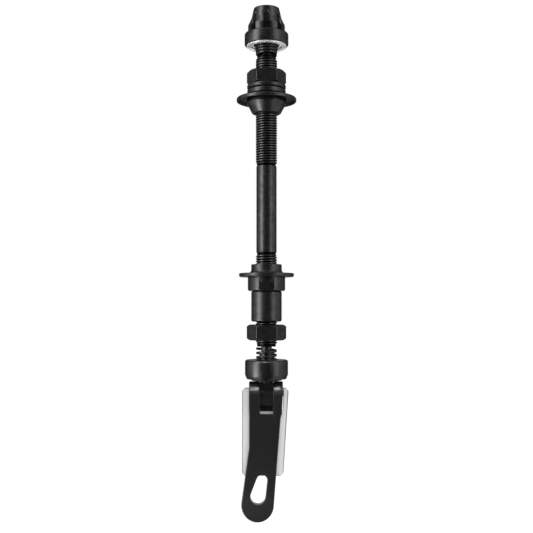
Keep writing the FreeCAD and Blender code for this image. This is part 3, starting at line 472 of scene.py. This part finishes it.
def hardened(mesh):
    """A mesh whose broad faces keep their own normals, so that only its broken edges look round."""
    holder = bpy.data.objects.new(mesh.name, mesh)
    bpy.context.scene.collection.objects.link(holder)
    modifier = holder.modifiers.new("Broad faces", "WEIGHTED_NORMAL")
    modifier.keep_sharp = True
    modifier.weight = 100
    shaped = holder.evaluated_get(bpy.context.evaluated_depsgraph_get())
    copy = bpy.data.meshes.new_from_object(shaped)
    holder.modifiers.remove(modifier)
    bpy.data.objects.remove(holder)
    bpy.data.meshes.remove(mesh)
    return copy


def dress(node, name, mesh, finish):
    """Puts a finished mesh in a node's place, on the node's own body."""
    mesh.name = name
    mesh.materials.clear()
    mesh.materials.append(finish)
    piece = bpy.data.objects.new(name, mesh)
    bpy.context.scene.collection.objects.link(piece)
    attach(piece, frame["nodes"][node]["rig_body"])
    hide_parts(node)
    return piece


def has_room(line, sharp, edge):
    """Whether the faces beside a sharp edge are wide enough for it to be broken to this width."""
    beside = {other for corner in line.verts for other in corner.link_edges if other not in sharp}
    return all(other.calc_length() > EDGE_ROOM * edge for other in beside)


def softened_mesh(node, edge, segments=3, sharp_degrees=24.0):
    """A copy of a node's solid whose sharp edges are rounded to this width."""
    form = bmesh.new()
    form.from_mesh(frame["nodes"][node].data)
    bmesh.ops.remove_doubles(form, verts=form.verts, dist=WELD)
    flat = math.radians(FLAT_DEGREES)
    bmesh.ops.dissolve_limit(form, angle_limit=flat, verts=form.verts, edges=form.edges)
    limit = math.radians(sharp_degrees)
    sharp = {line for line in form.edges if line.is_manifold and line.calc_face_angle(0.0) > limit}
    roomy = [line for line in form.edges if line in sharp and has_room(line, sharp, edge)]
    bmesh.ops.bevel(
        form, geom=roomy, offset=edge, offset_type="OFFSET", segments=segments, profile=0.5,
        affect="EDGES", clamp_overlap=False, loop_slide=True, miter_outer="SHARP", miter_inner="SHARP",
    )
    bmesh.ops.dissolve_degenerate(form, dist=WELD, edges=form.edges)
    mesh = bpy.data.meshes.new(node)
    form.to_mesh(mesh)
    form.free()
    smooth(mesh, degrees=32.0)
    return hardened(mesh)


def new_finish(name):
    """An empty finish, its node tree, its shader and the object's own coordinates."""
    finish = bpy.data.materials.new(name)
    finish.use_nodes = True
    tree = finish.node_tree
    shader = tree.nodes["Principled BSDF"]
    place = tree.nodes.new("ShaderNodeTexCoord").outputs["Object"]
    return finish, tree, shader, place


def grain(tree, place, scale, stretch=(1.0, 1.0, 1.0), detail=3.0):
    """A noise that is drawn out along an axis by its stretch."""
    mapped = add_node(tree, "ShaderNodeMapping", {"Vector": place, "Scale": stretch})
    noise = add_node(
        tree,
        "ShaderNodeTexNoise",
        {"Vector": mapped.outputs[0], "Scale": scale, "Detail": detail, "Roughness": 0.6},
    )
    return noise.outputs[0]


def spread(tree, share, low, high):
    """A noise's middle range turned into values from low to high."""
    node = add_node(
        tree, "ShaderNodeMapRange",
        {"Value": share, "From Min": 0.3, "From Max": 0.7, "To Min": low, "To Max": high},
    )
    return node.outputs["Result"]


def two_tone(tree, share, base, darker, lighter):
    """A base colour that wanders between a darker and a lighter tone."""
    ramp = tree.nodes.new("ShaderNodeValToRGB")
    tree.links.new(share, ramp.inputs[0])
    ramp.color_ramp.elements[0].position = 0.3
    ramp.color_ramp.elements[0].color = (*[part * darker for part in base], 1.0)
    ramp.color_ramp.elements[1].position = 0.7
    ramp.color_ramp.elements[1].color = (*[min(1.0, part * lighter) for part in base], 1.0)
    return ramp.outputs[0]


def relief(tree, share, strength, depth):
    """A bump of this depth in metres from a noise."""
    node = add_node(tree, "ShaderNodeBump", {"Height": share, "Strength": strength, "Distance": depth})
    return node.outputs[0]


def blackened(name):
    """Blackened steel with fine turning marks round the axle's line."""
    finish, tree, shader, place = new_finish(name)
    cloud = grain(tree, place, scale=420.0)
    marks = grain(tree, place, scale=5200.0, stretch=(0.02, 0.02, 1.0))
    base = bpy.context.scene.quick_axle.finishes.black_steel
    fill(tree, shader, {
        "Base Color": two_tone(tree, cloud, base, darker=0.75, lighter=1.35),
        "Roughness": spread(tree, marks, low=0.32, high=0.40),
        "Normal": relief(tree, marks, strength=0.05, depth=0.000004),
        "Metallic": 0.9,
        "Specular IOR Level": 0.25,
        "Specular Tint": (0.3, 0.3, 0.31, 1.0),
    })
    return finish, tree, shader, place


def black_steel(name):
    """The blackened steel of the turned pieces."""
    return blackened(name)[0]


def threaded_steel(name):
    """Blackened steel, with a painted highlight on the thread's crests and painted shade in its roots."""
    finish, tree, shader, place = blackened(name)
    sizes = bpy.context.scene.quick_axle.axle
    parts = add_node(tree, "ShaderNodeSeparateXYZ", {0: place}).outputs
    across = add_node(tree, "ShaderNodeCombineXYZ", {"X": parts["X"], "Y": parts["Y"]}).outputs[0]
    radius = add_node(tree, "ShaderNodeVectorMath", {0: across}, operation="LENGTH").outputs["Value"]
    # Painted highlight on the thread's crests and painted shade in its roots, set by the radius.
    painted_crest_highlight_root_shade = add_node(tree, "ShaderNodeMapRange", {
        "Value": radius,
        "From Min": AXLE_HEAD.x - sizes.thread_depth,
        "From Max": AXLE_HEAD.x,
        "To Min": ROOT_PAINTED_SHADE,
        "To Max": CREST_PAINTED_HIGHLIGHT,
    }).outputs["Result"]
    above = calculate(tree, "GREATER_THAN", parts["Z"], sizes.shank_top)
    below = calculate(tree, "LESS_THAN", parts["Z"], sizes.shank_foot)
    change = calculate(tree, "MULTIPLY", painted_crest_highlight_root_shade, calculate(tree, "ADD", above, below))
    untoned = shader.inputs["Base Color"].links[0].from_socket
    tone = {0: untoned, "Scale": calculate(tree, "ADD", change, 1.0)}
    toned = add_node(tree, "ShaderNodeVectorMath", tone, operation="SCALE").outputs[0]
    fill(tree, shader, {"Base Color": toned})
    return finish


def spring_wire(name):
    """Drawn spring wire, blackened in oil."""
    finish, tree, shader, place = new_finish(name)
    cloud = grain(tree, place, scale=900.0)
    base = bpy.context.scene.quick_axle.finishes.spring_wire
    fill(tree, shader, {
        "Base Color": two_tone(tree, cloud, base, darker=0.7, lighter=1.4),
        "Roughness": spread(tree, cloud, low=0.26, high=0.38),
        "Metallic": 0.85,
        "Specular IOR Level": 0.25,
        "Specular Tint": (0.25, 0.25, 0.26, 1.0),
    })
    return finish


def anodised(name):
    """Black anodised aluminium with a fine blasted grain."""
    finish, tree, shader, place = new_finish(name)
    blast = grain(tree, place, scale=4200.0, detail=2.0)
    cloud = grain(tree, place, scale=260.0)
    base = bpy.context.scene.quick_axle.finishes.anodised
    fill(tree, shader, {
        "Base Color": two_tone(tree, cloud, base, darker=0.8, lighter=1.25),
        "Roughness": spread(tree, cloud, low=0.28, high=0.36),
        "Normal": relief(tree, blast, strength=0.2, depth=0.00001),
        "Metallic": 0.9,
        "Specular IOR Level": 0.25,
        "Specular Tint": (0.3, 0.3, 0.31, 1.0),
    })
    return finish


def saddle_black(name):
    """Matt black moulding of the cam saddle."""
    finish, tree, shader, place = new_finish(name)
    pores = grain(tree, place, scale=2600.0)
    base = bpy.context.scene.quick_axle.finishes.saddle
    fill(tree, shader, {
        "Base Color": two_tone(tree, pores, base, darker=0.8, lighter=1.3),
        "Roughness": spread(tree, pores, low=0.48, high=0.6),
        "Normal": relief(tree, pores, strength=0.3, depth=0.00002),
        "Specular IOR Level": 0.2,
    })
    return finish


def lever_coat(name):
    """Satin black coat with a faint orange-peel relief."""
    finish, tree, shader, place = new_finish(name)
    peel = grain(tree, place, scale=1500.0, detail=2.0)
    cloud = grain(tree, place, scale=180.0)
    base = bpy.context.scene.quick_axle.finishes.lever_coat
    fill(tree, shader, {
        "Base Color": two_tone(tree, cloud, base, darker=0.85, lighter=1.2),
        "Roughness": spread(tree, peel, low=0.36, high=0.44),
        "Normal": relief(tree, peel, strength=0.2, depth=0.00002),
        "Specular IOR Level": 0.35,
    })
    return finish


def plate_painted_shade(tree, place):
    """A share of the plate's full tone: painted shade along its border and on its back."""
    fits = bpy.context.scene.quick_axle.fits
    spot = add_node(tree, "ShaderNodeSeparateXYZ", {0: place}).outputs
    climb = calculate(tree, "SUBTRACT", spot["Z"], PLATE_FOOT.z)
    slope = (PLATE_HEAD.x - fits.plate_right_foot) / (PLATE_HEAD.z - PLATE_FOOT.z)
    right = calculate(tree, "ADD", calculate(tree, "MULTIPLY", climb, slope), fits.plate_right_foot)
    from_right = calculate(tree, "SUBTRACT", right, spot["X"])
    from_left = calculate(tree, "SUBTRACT", spot["X"], PLATE_FOOT.x)
    from_top = calculate(tree, "SUBTRACT", PLATE_HEAD.z, spot["Z"])
    inside = calculate(tree, "MINIMUM", from_right, from_left)
    inside = calculate(tree, "MINIMUM", inside, calculate(tree, "MINIMUM", climb, from_top))
    # Painted shade along the plate's rim.
    rim_shade_share = add_node(tree, "ShaderNodeMapRange", {
        "Value": inside,
        "From Min": RIM_WIDTH,
        "From Max": fits.plate_shade_border,
        "To Min": RIM_PAINTED_SHADE,
        "To Max": 1.0,
    }).outputs["Result"]
    # Painted shade on the plate's back.
    back = calculate(tree, "GREATER_THAN", spot["Y"], PLATE_HEAD.y - fits.plate_back_shade_depth)
    back_shade_share = calculate(tree, "SUBTRACT", 1.0, calculate(tree, "MULTIPLY", back, BACK_PAINTED_SHADE))
    return calculate(tree, "MULTIPLY", rim_shade_share, back_shade_share)


def brushed_plate(name):
    """Satin aluminium, brushed along the lever."""
    finish, tree, shader, place = new_finish(name)
    brush = grain(tree, place, scale=4800.0, stretch=(1.0, 1.0, 0.015))
    cloud = grain(tree, place, scale=120.0, stretch=(1.0, 1.0, 0.5))
    base = bpy.context.scene.quick_axle.finishes.plate
    tone = {0: two_tone(tree, cloud, base, darker=0.92, lighter=1.04), "Scale": plate_painted_shade(tree, place)}
    fill(tree, shader, {
        "Base Color": add_node(tree, "ShaderNodeVectorMath", tone, operation="SCALE").outputs[0],
        "Roughness": spread(tree, brush, low=0.34, high=0.5),
        "Normal": relief(tree, brush, strength=0.2, depth=0.00001),
        "Metallic": 0.1,
    })
    return finish


def bright_steel(name):
    """Bright plated steel with light wear."""
    finish, tree, shader, place = new_finish(name)
    cloud = grain(tree, place, scale=700.0)
    base = bpy.context.scene.quick_axle.finishes.bright_steel
    fill(tree, shader, {
        "Base Color": two_tone(tree, cloud, base, darker=0.85, lighter=1.12),
        "Roughness": spread(tree, cloud, low=0.32, high=0.46),
        "Metallic": 0.4,
    })
    return finish


FINISH_NAMES = {
    black_steel: "turned_black_steel",
    threaded_steel: "threaded_black_steel",
    spring_wire: "spring_wire",
    anodised: "anodised_black",
    saddle_black: "saddle_black",
    lever_coat: "lever_coat",
    brushed_plate: "brushed_plate",
    bright_steel: "plated_bright_steel",
}


def finish_of(maker):
    """A finish, made once."""
    name = FINISH_NAMES[maker]
    return bpy.data.materials.get(name) or maker(name)


class QUICKAXLE_OT_axle(bpy.types.Operator):
    """Cut the thread on the hollow axle"""

    bl_idname = "quick_axle.axle"
    bl_label = "Threaded axle"

    def execute(self, context):
        sizes = context.scene.quick_axle.axle
        crest = AXLE_HEAD.x
        root = crest - sizes.thread_depth
        step = sizes.shank_radius - root
        profile = [
            (sizes.bore_radius, AXLE_FOOT.z),
            (crest - sizes.chamfer, AXLE_FOOT.z),
            (root, AXLE_FOOT.z + sizes.chamfer),
            (root, sizes.shank_foot - step),
            (sizes.shank_radius, sizes.shank_foot),
            (sizes.shank_radius, sizes.shank_top),
            (root, sizes.shank_top + step),
            (root, AXLE_HEAD.z - sizes.chamfer),
            (crest - sizes.chamfer, AXLE_HEAD.z),
            (sizes.bore_radius, AXLE_HEAD.z),
        ]
        form = turned_form(profile, segments=96)
        tree = thread_tree()
        finish = finish_of(threaded_steel)
        half = sizes.pitch * RIDGE_FOOT
        for foot, head in ((AXLE_FOOT.z, sizes.shank_foot), (sizes.shank_top, AXLE_HEAD.z)):
            ridge = grown_mesh(
                tree,
                foot + half,
                finish,
                {
                    "Pitch": sizes.pitch,
                    "Length": head - foot - 2.0 * half,
                    "Root radius": root,
                    "Depth": sizes.thread_depth,
                    "Crest width": sizes.crest_width,
                },
            )
            form.from_mesh(ridge)
            bpy.data.meshes.remove(ridge)
        bmesh.ops.dissolve_degenerate(form, dist=WELD, edges=form.edges)
        mesh = bpy.data.meshes.new("threaded_axle")
        form.to_mesh(mesh)
        form.free()
        smooth(mesh, degrees=30.0)
        dress("hollow_axle", "threaded_axle", mesh, finish)
        return {"FINISHED"}


class QUICKAXLE_OT_locknuts(bpy.types.Operator):
    """Finish the lock nuts, the washer, the spacer ring and the sleeve"""

    bl_idname = "quick_axle.locknuts"
    bl_label = "Lock nuts and spacers"

    def execute(self, context):
        edge = context.scene.quick_axle.edges.nut
        finish = finish_of(black_steel)
        rings = ("upper_lock_washer", "upper_spacer_ring", "spacer_sleeve")
        for node in ("upper_lock_nut", *rings, "lower_lock_nut"):
            dress(node, f"{node}_turned", softened_mesh(node, edge), finish)
        return {"FINISHED"}


class QUICKAXLE_OT_cones(bpy.types.Operator):
    """Finish the bearing cones and their dust caps"""

    bl_idname = "quick_axle.cones"
    bl_label = "Bearing cones and dust caps"

    def execute(self, context):
        edge = context.scene.quick_axle.edges.cone
        finish = finish_of(black_steel)
        for node in ("upper_cone", "upper_dust_cap", "lower_cone", "lower_dust_cap"):
            dress(node, f"{node}_turned", softened_mesh(node, edge), finish)
        return {"FINISHED"}


class QUICKAXLE_OT_springs(bpy.types.Operator):
    """Wind the two return springs"""

    bl_idname = "quick_axle.springs"
    bl_label = "Return springs"

    def execute(self, context):
        sizes = context.scene.quick_axle.springs
        tree = spring_tree()
        finish = finish_of(spring_wire)
        wire = sizes.wire_radius
        wide = max(UPPER_SPRING_HEAD.x, -UPPER_SPRING_FOOT.x) - wire
        coils = (
            ("lower_spring", LOWER_SPRING_FOOT.z, LOWER_SPRING_HEAD.z, sizes.lower_turns,
             LOWER_SPRING_HEAD.x - wire, LOWER_SPRING_HEAD.x - wire),
            ("upper_spring", UPPER_SPRING_FOOT.z, UPPER_SPRING_HEAD.z, sizes.upper_turns,
             sizes.upper_small_radius, wide),
        )
        for node, foot, head, turns, foot_radius, head_radius in coils:
            mesh = grown_mesh(
                tree,
                foot + wire,
                finish,
                {
                    "Turns": turns,
                    "Foot radius": foot_radius,
                    "Head radius": head_radius,
                    "Height": head - foot - 2.0 * wire,
                    "Wire radius": wire,
                    "Facets": float(sizes.facets),
                },
            )
            smooth(mesh, degrees=40.0)
            coil = dress(node, f"{node}_coil", mesh, finish)
            if node == "lower_spring":
                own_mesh(coil)
            else:
                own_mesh(coil)
        return {"FINISHED"}


class QUICKAXLE_OT_collar(bpy.types.Operator):
    """Finish the lever's collar and the saddle that the cam bears on"""

    bl_idname = "quick_axle.collar"
    bl_label = "Collar and cam saddle"

    def execute(self, context):
        edge = context.scene.quick_axle.edges.collar
        fits = context.scene.quick_axle.fits
        dress("lever_collar", "lever_collar_turned", softened_mesh("lever_collar", edge), finish_of(anodised))
        dress("cam_saddle", "cam_saddle_moulded", lugged_saddle(fits, edge), finish_of(saddle_black))
        return {"FINISHED"}


def with_block(mesh, low, high):
    """A mesh with a plain block added, from one corner to the other."""
    low, high = Vector(low), Vector(high)
    form = bmesh.new()
    form.from_mesh(mesh)
    place = Matrix.Translation((low + high) / 2.0) @ Matrix.Diagonal((*(high - low), 1.0))
    bmesh.ops.create_cube(form, size=1.0, matrix=place)
    form.to_mesh(mesh)
    form.free()
    return mesh


def shouldered_rod(fits, edge):
    """The draw rod with flat shoulders above its eye, which fills the fork's slot."""
    mesh = softened_mesh("draw_rod", edge)
    nose_level = PIVOT_LEVEL - fits.nose_depth
    for vertex in mesh.vertices:
        if abs(vertex.co.x) > fits.rod_radius:
            vertex.co.x += math.copysign(fits.eye_growth, vertex.co.x)
        if vertex.co.z < nose_level:
            vertex.co.z = nose_level + (vertex.co.z - nose_level) * fits.nose_stretch
    wide, deep = ROD_HEAD.x + fits.eye_growth, fits.shoulder_depth
    low = (-wide, -deep, PIVOT_LEVEL + fits.shoulder_foot)
    high = (wide, deep, PIVOT_LEVEL + fits.shoulder_top)
    return with_block(mesh, low, high)


def lugged_saddle(fits, edge):
    """The cam saddle with a lug that hangs into the fork behind the rod."""
    wide = ROD_HEAD.x + fits.eye_growth
    low = (-wide, fits.lug_front, PIVOT_LEVEL + fits.lug_foot)
    high = (wide, fits.lug_back, SADDLE_FOOT.z + fits.lug_root)
    return with_block(softened_mesh("cam_saddle", edge), low, high)


def fitted_plate(fits, edge):
    """The cover plate with the sides of its notch moved close to the fork."""
    mesh = softened_mesh("lever_plate", edge)
    near = 2.0 * edge
    moves = ((-fits.notch_left, fits.notch_shift_left), (fits.notch_right, -fits.notch_shift_right))
    for vertex in mesh.vertices:
        if vertex.co.z < PIVOT_LEVEL - fits.notch_depth:
            continue
        for side, shift in moves:
            if abs(vertex.co.x - side) < near:
                vertex.co.x += shift
    return mesh


class QUICKAXLE_OT_lever(bpy.types.Operator):
    """Finish the draw rod, the pivot pin, the cam lever and its cover plate"""

    bl_idname = "quick_axle.lever"
    bl_label = "Cam lever and draw rod"

    def execute(self, context):
        edges = context.scene.quick_axle.edges
        fits = context.scene.quick_axle.fits
        dress("draw_rod", "draw_rod_black", shouldered_rod(fits, edges.rod), finish_of(lever_coat))
        dress("pivot_pin", "pivot_pin_black", softened_mesh("pivot_pin", edges.rod), finish_of(black_steel))
        lever = softened_mesh("lever", edges.lever, sharp_degrees=40.0)
        dress("lever", "cam_lever", lever, finish_of(lever_coat))
        dress("lever_plate", "cover_plate", fitted_plate(fits, edges.plate), finish_of(brushed_plate))
        return {"FINISHED"}


def knob_mesh(sizes):
    """The adjusting nut: a slotted, tapered grip on a round collar, hollow for its insert and washer."""
    foot, top = KNOB_FOOT.z, KNOB_HEAD.z
    wide = KNOB_HEAD.x
    grip_base = foot + sizes.collar_level
    collar_foot, collar_edge = (wide, foot), (wide, grip_base)
    grip_foot, crown = (sizes.band_radius, grip_base), (sizes.crown_radius, top)
    profile = [
        (0.0, foot + sizes.rod_level),
        (sizes.rod_radius, foot + sizes.rod_level),
        (sizes.rod_radius, foot + sizes.core_level),
        (sizes.core_radius, foot + sizes.core_level),
        (sizes.core_radius, foot + sizes.skirt_level),
        (sizes.skirt_radius, foot + sizes.skirt_level),
        (sizes.skirt_radius, foot + sizes.ring_seat),
        (sizes.ring_seat_radius, foot + sizes.ring_seat),
        (sizes.ring_seat_radius, foot),
        collar_foot,
        collar_edge,
        grip_foot,
        (sizes.band_radius, foot + sizes.band_level),
        (sizes.waist_radius, foot + sizes.waist_level),
        crown,
        (0.0, top),
    ]
    edge_at, foot_at = profile.index(collar_edge), profile.index(collar_foot)
    profile = divided(profile, profile.index(grip_foot), profile.index(crown), GRIP_STEP)
    profile = rounded(profile, len(profile) - 2, sizes.crown_round)
    profile = rounded(profile, edge_at, sizes.collar_round)
    profile = rounded(profile, foot_at, sizes.foot_round)
    pitch = 2.0 * math.pi / sizes.flute_count
    half = sizes.flute_width / 2.0
    bend = foot + sizes.flute_top - half

    def carve(radius, level, angle):
        """The grip's radius where a slot may pass."""
        on_collar = level < grip_base - SLACK or radius > sizes.band_radius + SLACK
        if on_collar or radius < sizes.crown_radius - sizes.crown_round:
            return radius
        aside = radius * math.sin((angle + pitch / 2.0) % pitch - pitch / 2.0)
        away = math.hypot(aside, max(0.0, level - bend))
        share = min(1.0, max(0.0, (half - away) / sizes.flute_flank))
        climb = min(1.0, (level - grip_base) / (foot + sizes.flute_top - grip_base))
        floor = sizes.flute_floor_foot + (sizes.flute_floor_top - sizes.flute_floor_foot) * climb
        return radius - max(0.0, radius - floor) * share * share * (3.0 - 2.0 * share)

    form = turned_form(profile, FLUTE_SEGMENTS * sizes.flute_count, carve)
    mesh = bpy.data.meshes.new("fluted_knob")
    form.to_mesh(mesh)
    form.free()
    smooth(mesh, degrees=40.0)
    return mesh


class QUICKAXLE_OT_nut(bpy.types.Operator):
    """Finish the fluted adjusting nut, its thread insert and the serrated washer"""

    bl_idname = "quick_axle.nut"
    bl_label = "Adjusting nut"

    def execute(self, context):
        edges = context.scene.quick_axle.edges
        dress("knob", "fluted_knob", knob_mesh(context.scene.quick_axle.knob), finish_of(anodised))
        insert = softened_mesh("thread_insert", edges.insert)
        dress("thread_insert", "thread_insert_bright", insert, finish_of(bright_steel))
        washer = softened_mesh("serrated_washer", edges.teeth, segments=2)
        dress("serrated_washer", "serrated_washer_bright", washer, finish_of(bright_steel))
        return {"FINISHED"}


def softbox(name, watts, aim, azimuth, elevation, reach, width, height, beam=180.0, gloss=True):
    """A lamp that faces its aim and makes only gloss, or none. Azimuth 0 is the camera's side."""
    lamp = bpy.data.lights.new(name, "AREA")
    lamp.shape = "RECTANGLE"
    lamp.size = width
    lamp.size_y = height
    lamp.energy = watts
    lamp.spread = math.radians(beam)
    place = bpy.data.objects.new(name, lamp)
    turn, rise = math.radians(azimuth), math.radians(elevation)
    outward = Vector((math.sin(turn) * math.cos(rise), -math.cos(turn) * math.cos(rise), math.sin(rise)))
    place.location = Vector(aim) + reach * outward
    place.rotation_euler = outward.to_track_quat("Z", "Y").to_euler()
    place.visible_camera = False
    place.visible_diffuse = not gloss
    place.visible_glossy = gloss
    bpy.context.scene.collection.objects.link(place)


def pale_world():
    """A plain white surrounding."""
    world = bpy.data.worlds.new("pale_world")
    world.use_nodes = True
    tree = world.node_tree
    tree.nodes.clear()
    white = add_node(tree, "ShaderNodeBackground", {"Color": WHITE, "Strength": 1.0})
    add_node(tree, "ShaderNodeOutputWorld", {"Surface": white.outputs[0]})
    return world


def pale_floor(level):
    """A wide pale floor that glows a little for the eye and in reflections, and keeps the object's shadow."""
    form = bmesh.new()
    bmesh.ops.create_grid(form, x_segments=1, y_segments=1, size=FLOOR_HALF)
    mesh = bpy.data.meshes.new("pale_floor")
    form.to_mesh(mesh)
    form.free()
    mesh.transform(Matrix.Translation((0.0, 0.0, level)))
    finish = bpy.data.materials.new("pale_floor")
    finish.use_nodes = True
    tree = finish.node_tree
    tree.nodes.clear()
    rays = tree.nodes.new("ShaderNodeLightPath").outputs
    seen = calculate(tree, "MAXIMUM", rays["Is Camera Ray"], rays["Is Glossy Ray"])
    seen = calculate(tree, "MAXIMUM", seen, rays["Is Transmission Ray"])
    glow_strength = calculate(tree, "MULTIPLY", seen, FLOOR_GLOW)
    matt = add_node(tree, "ShaderNodeBsdfDiffuse", {"Color": FLOOR_GREY})
    glow = add_node(tree, "ShaderNodeEmission", {"Color": WHITE, "Strength": glow_strength})
    both = add_node(tree, "ShaderNodeAddShader", {0: matt.outputs[0], 1: glow.outputs[0]})
    add_node(tree, "ShaderNodeOutputMaterial", {"Surface": both.outputs[0]})
    mesh.materials.append(finish)
    floor = bpy.data.objects.new("pale_floor", mesh)
    bpy.context.scene.collection.objects.link(floor)


def dark_card(floor_level):
    """A black card on the camera's side, seen only in reflections, that keeps the pieces' middle dark."""
    top = (CAD_BOX[0].z + CAD_BOX[1].z) / 2.0 + CARD_RISE
    corners = [(0.0, CARD_NEAR), (-CARD_HALF, CARD_FAR), (CARD_HALF, CARD_FAR)]
    form = bmesh.new()
    lying = [form.verts.new((x, y, floor_level + CARD_LIFT)) for x, y in corners]
    raised = [form.verts.new((x, y, top)) for x, y in corners[1:]]
    form.faces.new(lying)
    form.faces.new((lying[1], lying[2], raised[1], raised[0]))
    mesh = bpy.data.meshes.new("dark_card")
    form.to_mesh(mesh)
    form.free()
    finish = bpy.data.materials.new("dark_card")
    finish.use_nodes = True
    tree = finish.node_tree
    fill(tree, tree.nodes["Principled BSDF"], {"Base Color": CARD_BLACK, "Specular IOR Level": 0.0})
    mesh.materials.append(finish)
    card = bpy.data.objects.new("dark_card", mesh)
    card.visible_camera = False
    card.visible_diffuse = False
    card.visible_shadow = False
    bpy.context.scene.collection.objects.link(card)


class QUICKAXLE_OT_stage(bpy.types.Operator):
    """Set up the floor, the lamps and the camera"""

    bl_idname = "quick_axle.stage"
    bl_label = "Stage"

    def execute(self, context):
        scene = context.scene
        sizes = scene.quick_axle.stage
        scene.view_settings.view_transform = "Standard"
        scene.world = pale_world()
        floor_level = CAD_BOX[0].z - sizes.floor_drop
        pale_floor(floor_level)
        dark_card(floor_level)
        middle = (CAD_BOX[0] + CAD_BOX[1]) / 2.0
        fork = Vector((0.0, 0.0, PIVOT_LEVEL - FORK_DROP))
        tip = Vector((TIP_ASIDE, 0.0, PIVOT_LEVEL - TIP_DROP))
        tall = {"elevation": 0.0, "reach": 0.6, "width": 0.26, "height": 3.2}
        softbox("key_softbox", sizes.key_watts, middle, azimuth=-58.0, **tall)
        softbox("fill_softbox", sizes.fill_watts, middle, azimuth=54.0, **tall)
        softbox("low_softbox", sizes.low_watts, middle, azimuth=-60.0, elevation=-35.0, reach=0.29,
                width=0.14, height=0.14)
        softbox("fork_softbox", sizes.fork_watts, fork, azimuth=-4.0, elevation=46.0, reach=0.1,
                width=0.024, height=0.018, beam=13.0)
        softbox("tip_softbox", sizes.tip_watts, tip, azimuth=-10.0, elevation=7.0, reach=0.08,
                width=0.02, height=0.02, beam=20.0)
        softbox("front_softbox", sizes.front_watts, middle, azimuth=8.0, elevation=20.0, reach=0.7,
                width=0.5, height=0.5, gloss=False)
        lens = bpy.data.cameras.new("camera")
        lens.lens = sizes.lens
        lens.sensor_width = 36.0
        lens.shift_y = sizes.rise
        lens.clip_start = 0.01
        camera = bpy.data.objects.new("camera", lens)
        camera.location = (0.0, -sizes.distance, sizes.eye_level)
        look = Vector((0.0, sizes.distance, sizes.aim_level - sizes.eye_level))
        camera.rotation_euler = look.to_track_quat("-Z", "Y").to_euler()
        scene.collection.objects.link(camera)
        scene.camera = camera
        return {"FINISHED"}


class QUICKAXLE_PT_sidebar(bpy.types.Panel):
    """Sizes, finishes and pieces of the quick release axle"""

    bl_idname = "QUICKAXLE_PT_sidebar"
    bl_label = "Quick release axle"
    bl_space_type = "VIEW_3D"
    bl_region_type = "UI"
    bl_category = "Quick axle"

    def draw(self, context):
        layout = self.layout
        groups = context.scene.quick_axle
        for group in (getattr(groups, name) for name in groups.__annotations__):
            box = layout.box()
            for name in group.__annotations__:
                box.prop(group, name)
        for operator in OPERATORS:
            layout.operator(operator.bl_idname)


OPERATORS = (
    QUICKAXLE_OT_axle,
    QUICKAXLE_OT_locknuts,
    QUICKAXLE_OT_cones,
    QUICKAXLE_OT_springs,
    QUICKAXLE_OT_collar,
    QUICKAXLE_OT_lever,
    QUICKAXLE_OT_nut,
    QUICKAXLE_OT_stage,
)
CLASSES = (
    QUICKAXLE_PG_axle,
    QUICKAXLE_PG_springs,
    QUICKAXLE_PG_knob,
    QUICKAXLE_PG_fits,
    QUICKAXLE_PG_edges,
    QUICKAXLE_PG_finishes,
    QUICKAXLE_PG_stage,
    QUICKAXLE_PG_all,
    *OPERATORS,
    QUICKAXLE_PT_sidebar,
)


def register():
    """Add the classes and the scene's settings."""
    for item in CLASSES:
        bpy.utils.register_class(item)
    bpy.types.Scene.quick_axle = PointerProperty(type=QUICKAXLE_PG_all)


def unregister():
    """Take the settings and the classes away again."""
    del bpy.types.Scene.quick_axle
    for item in reversed(CLASSES):
        bpy.utils.unregister_class(item)


def main():
    """Register the settings, build every piece and set the stage."""
    register()
    bpy.ops.quick_axle.axle()
    bpy.ops.quick_axle.locknuts()
    bpy.ops.quick_axle.cones()
    bpy.ops.quick_axle.springs()
    bpy.ops.quick_axle.collar()
    bpy.ops.quick_axle.lever()
    bpy.ops.quick_axle.nut()
    bpy.ops.quick_axle.stage()


if __name__ == "__main__":
    main()
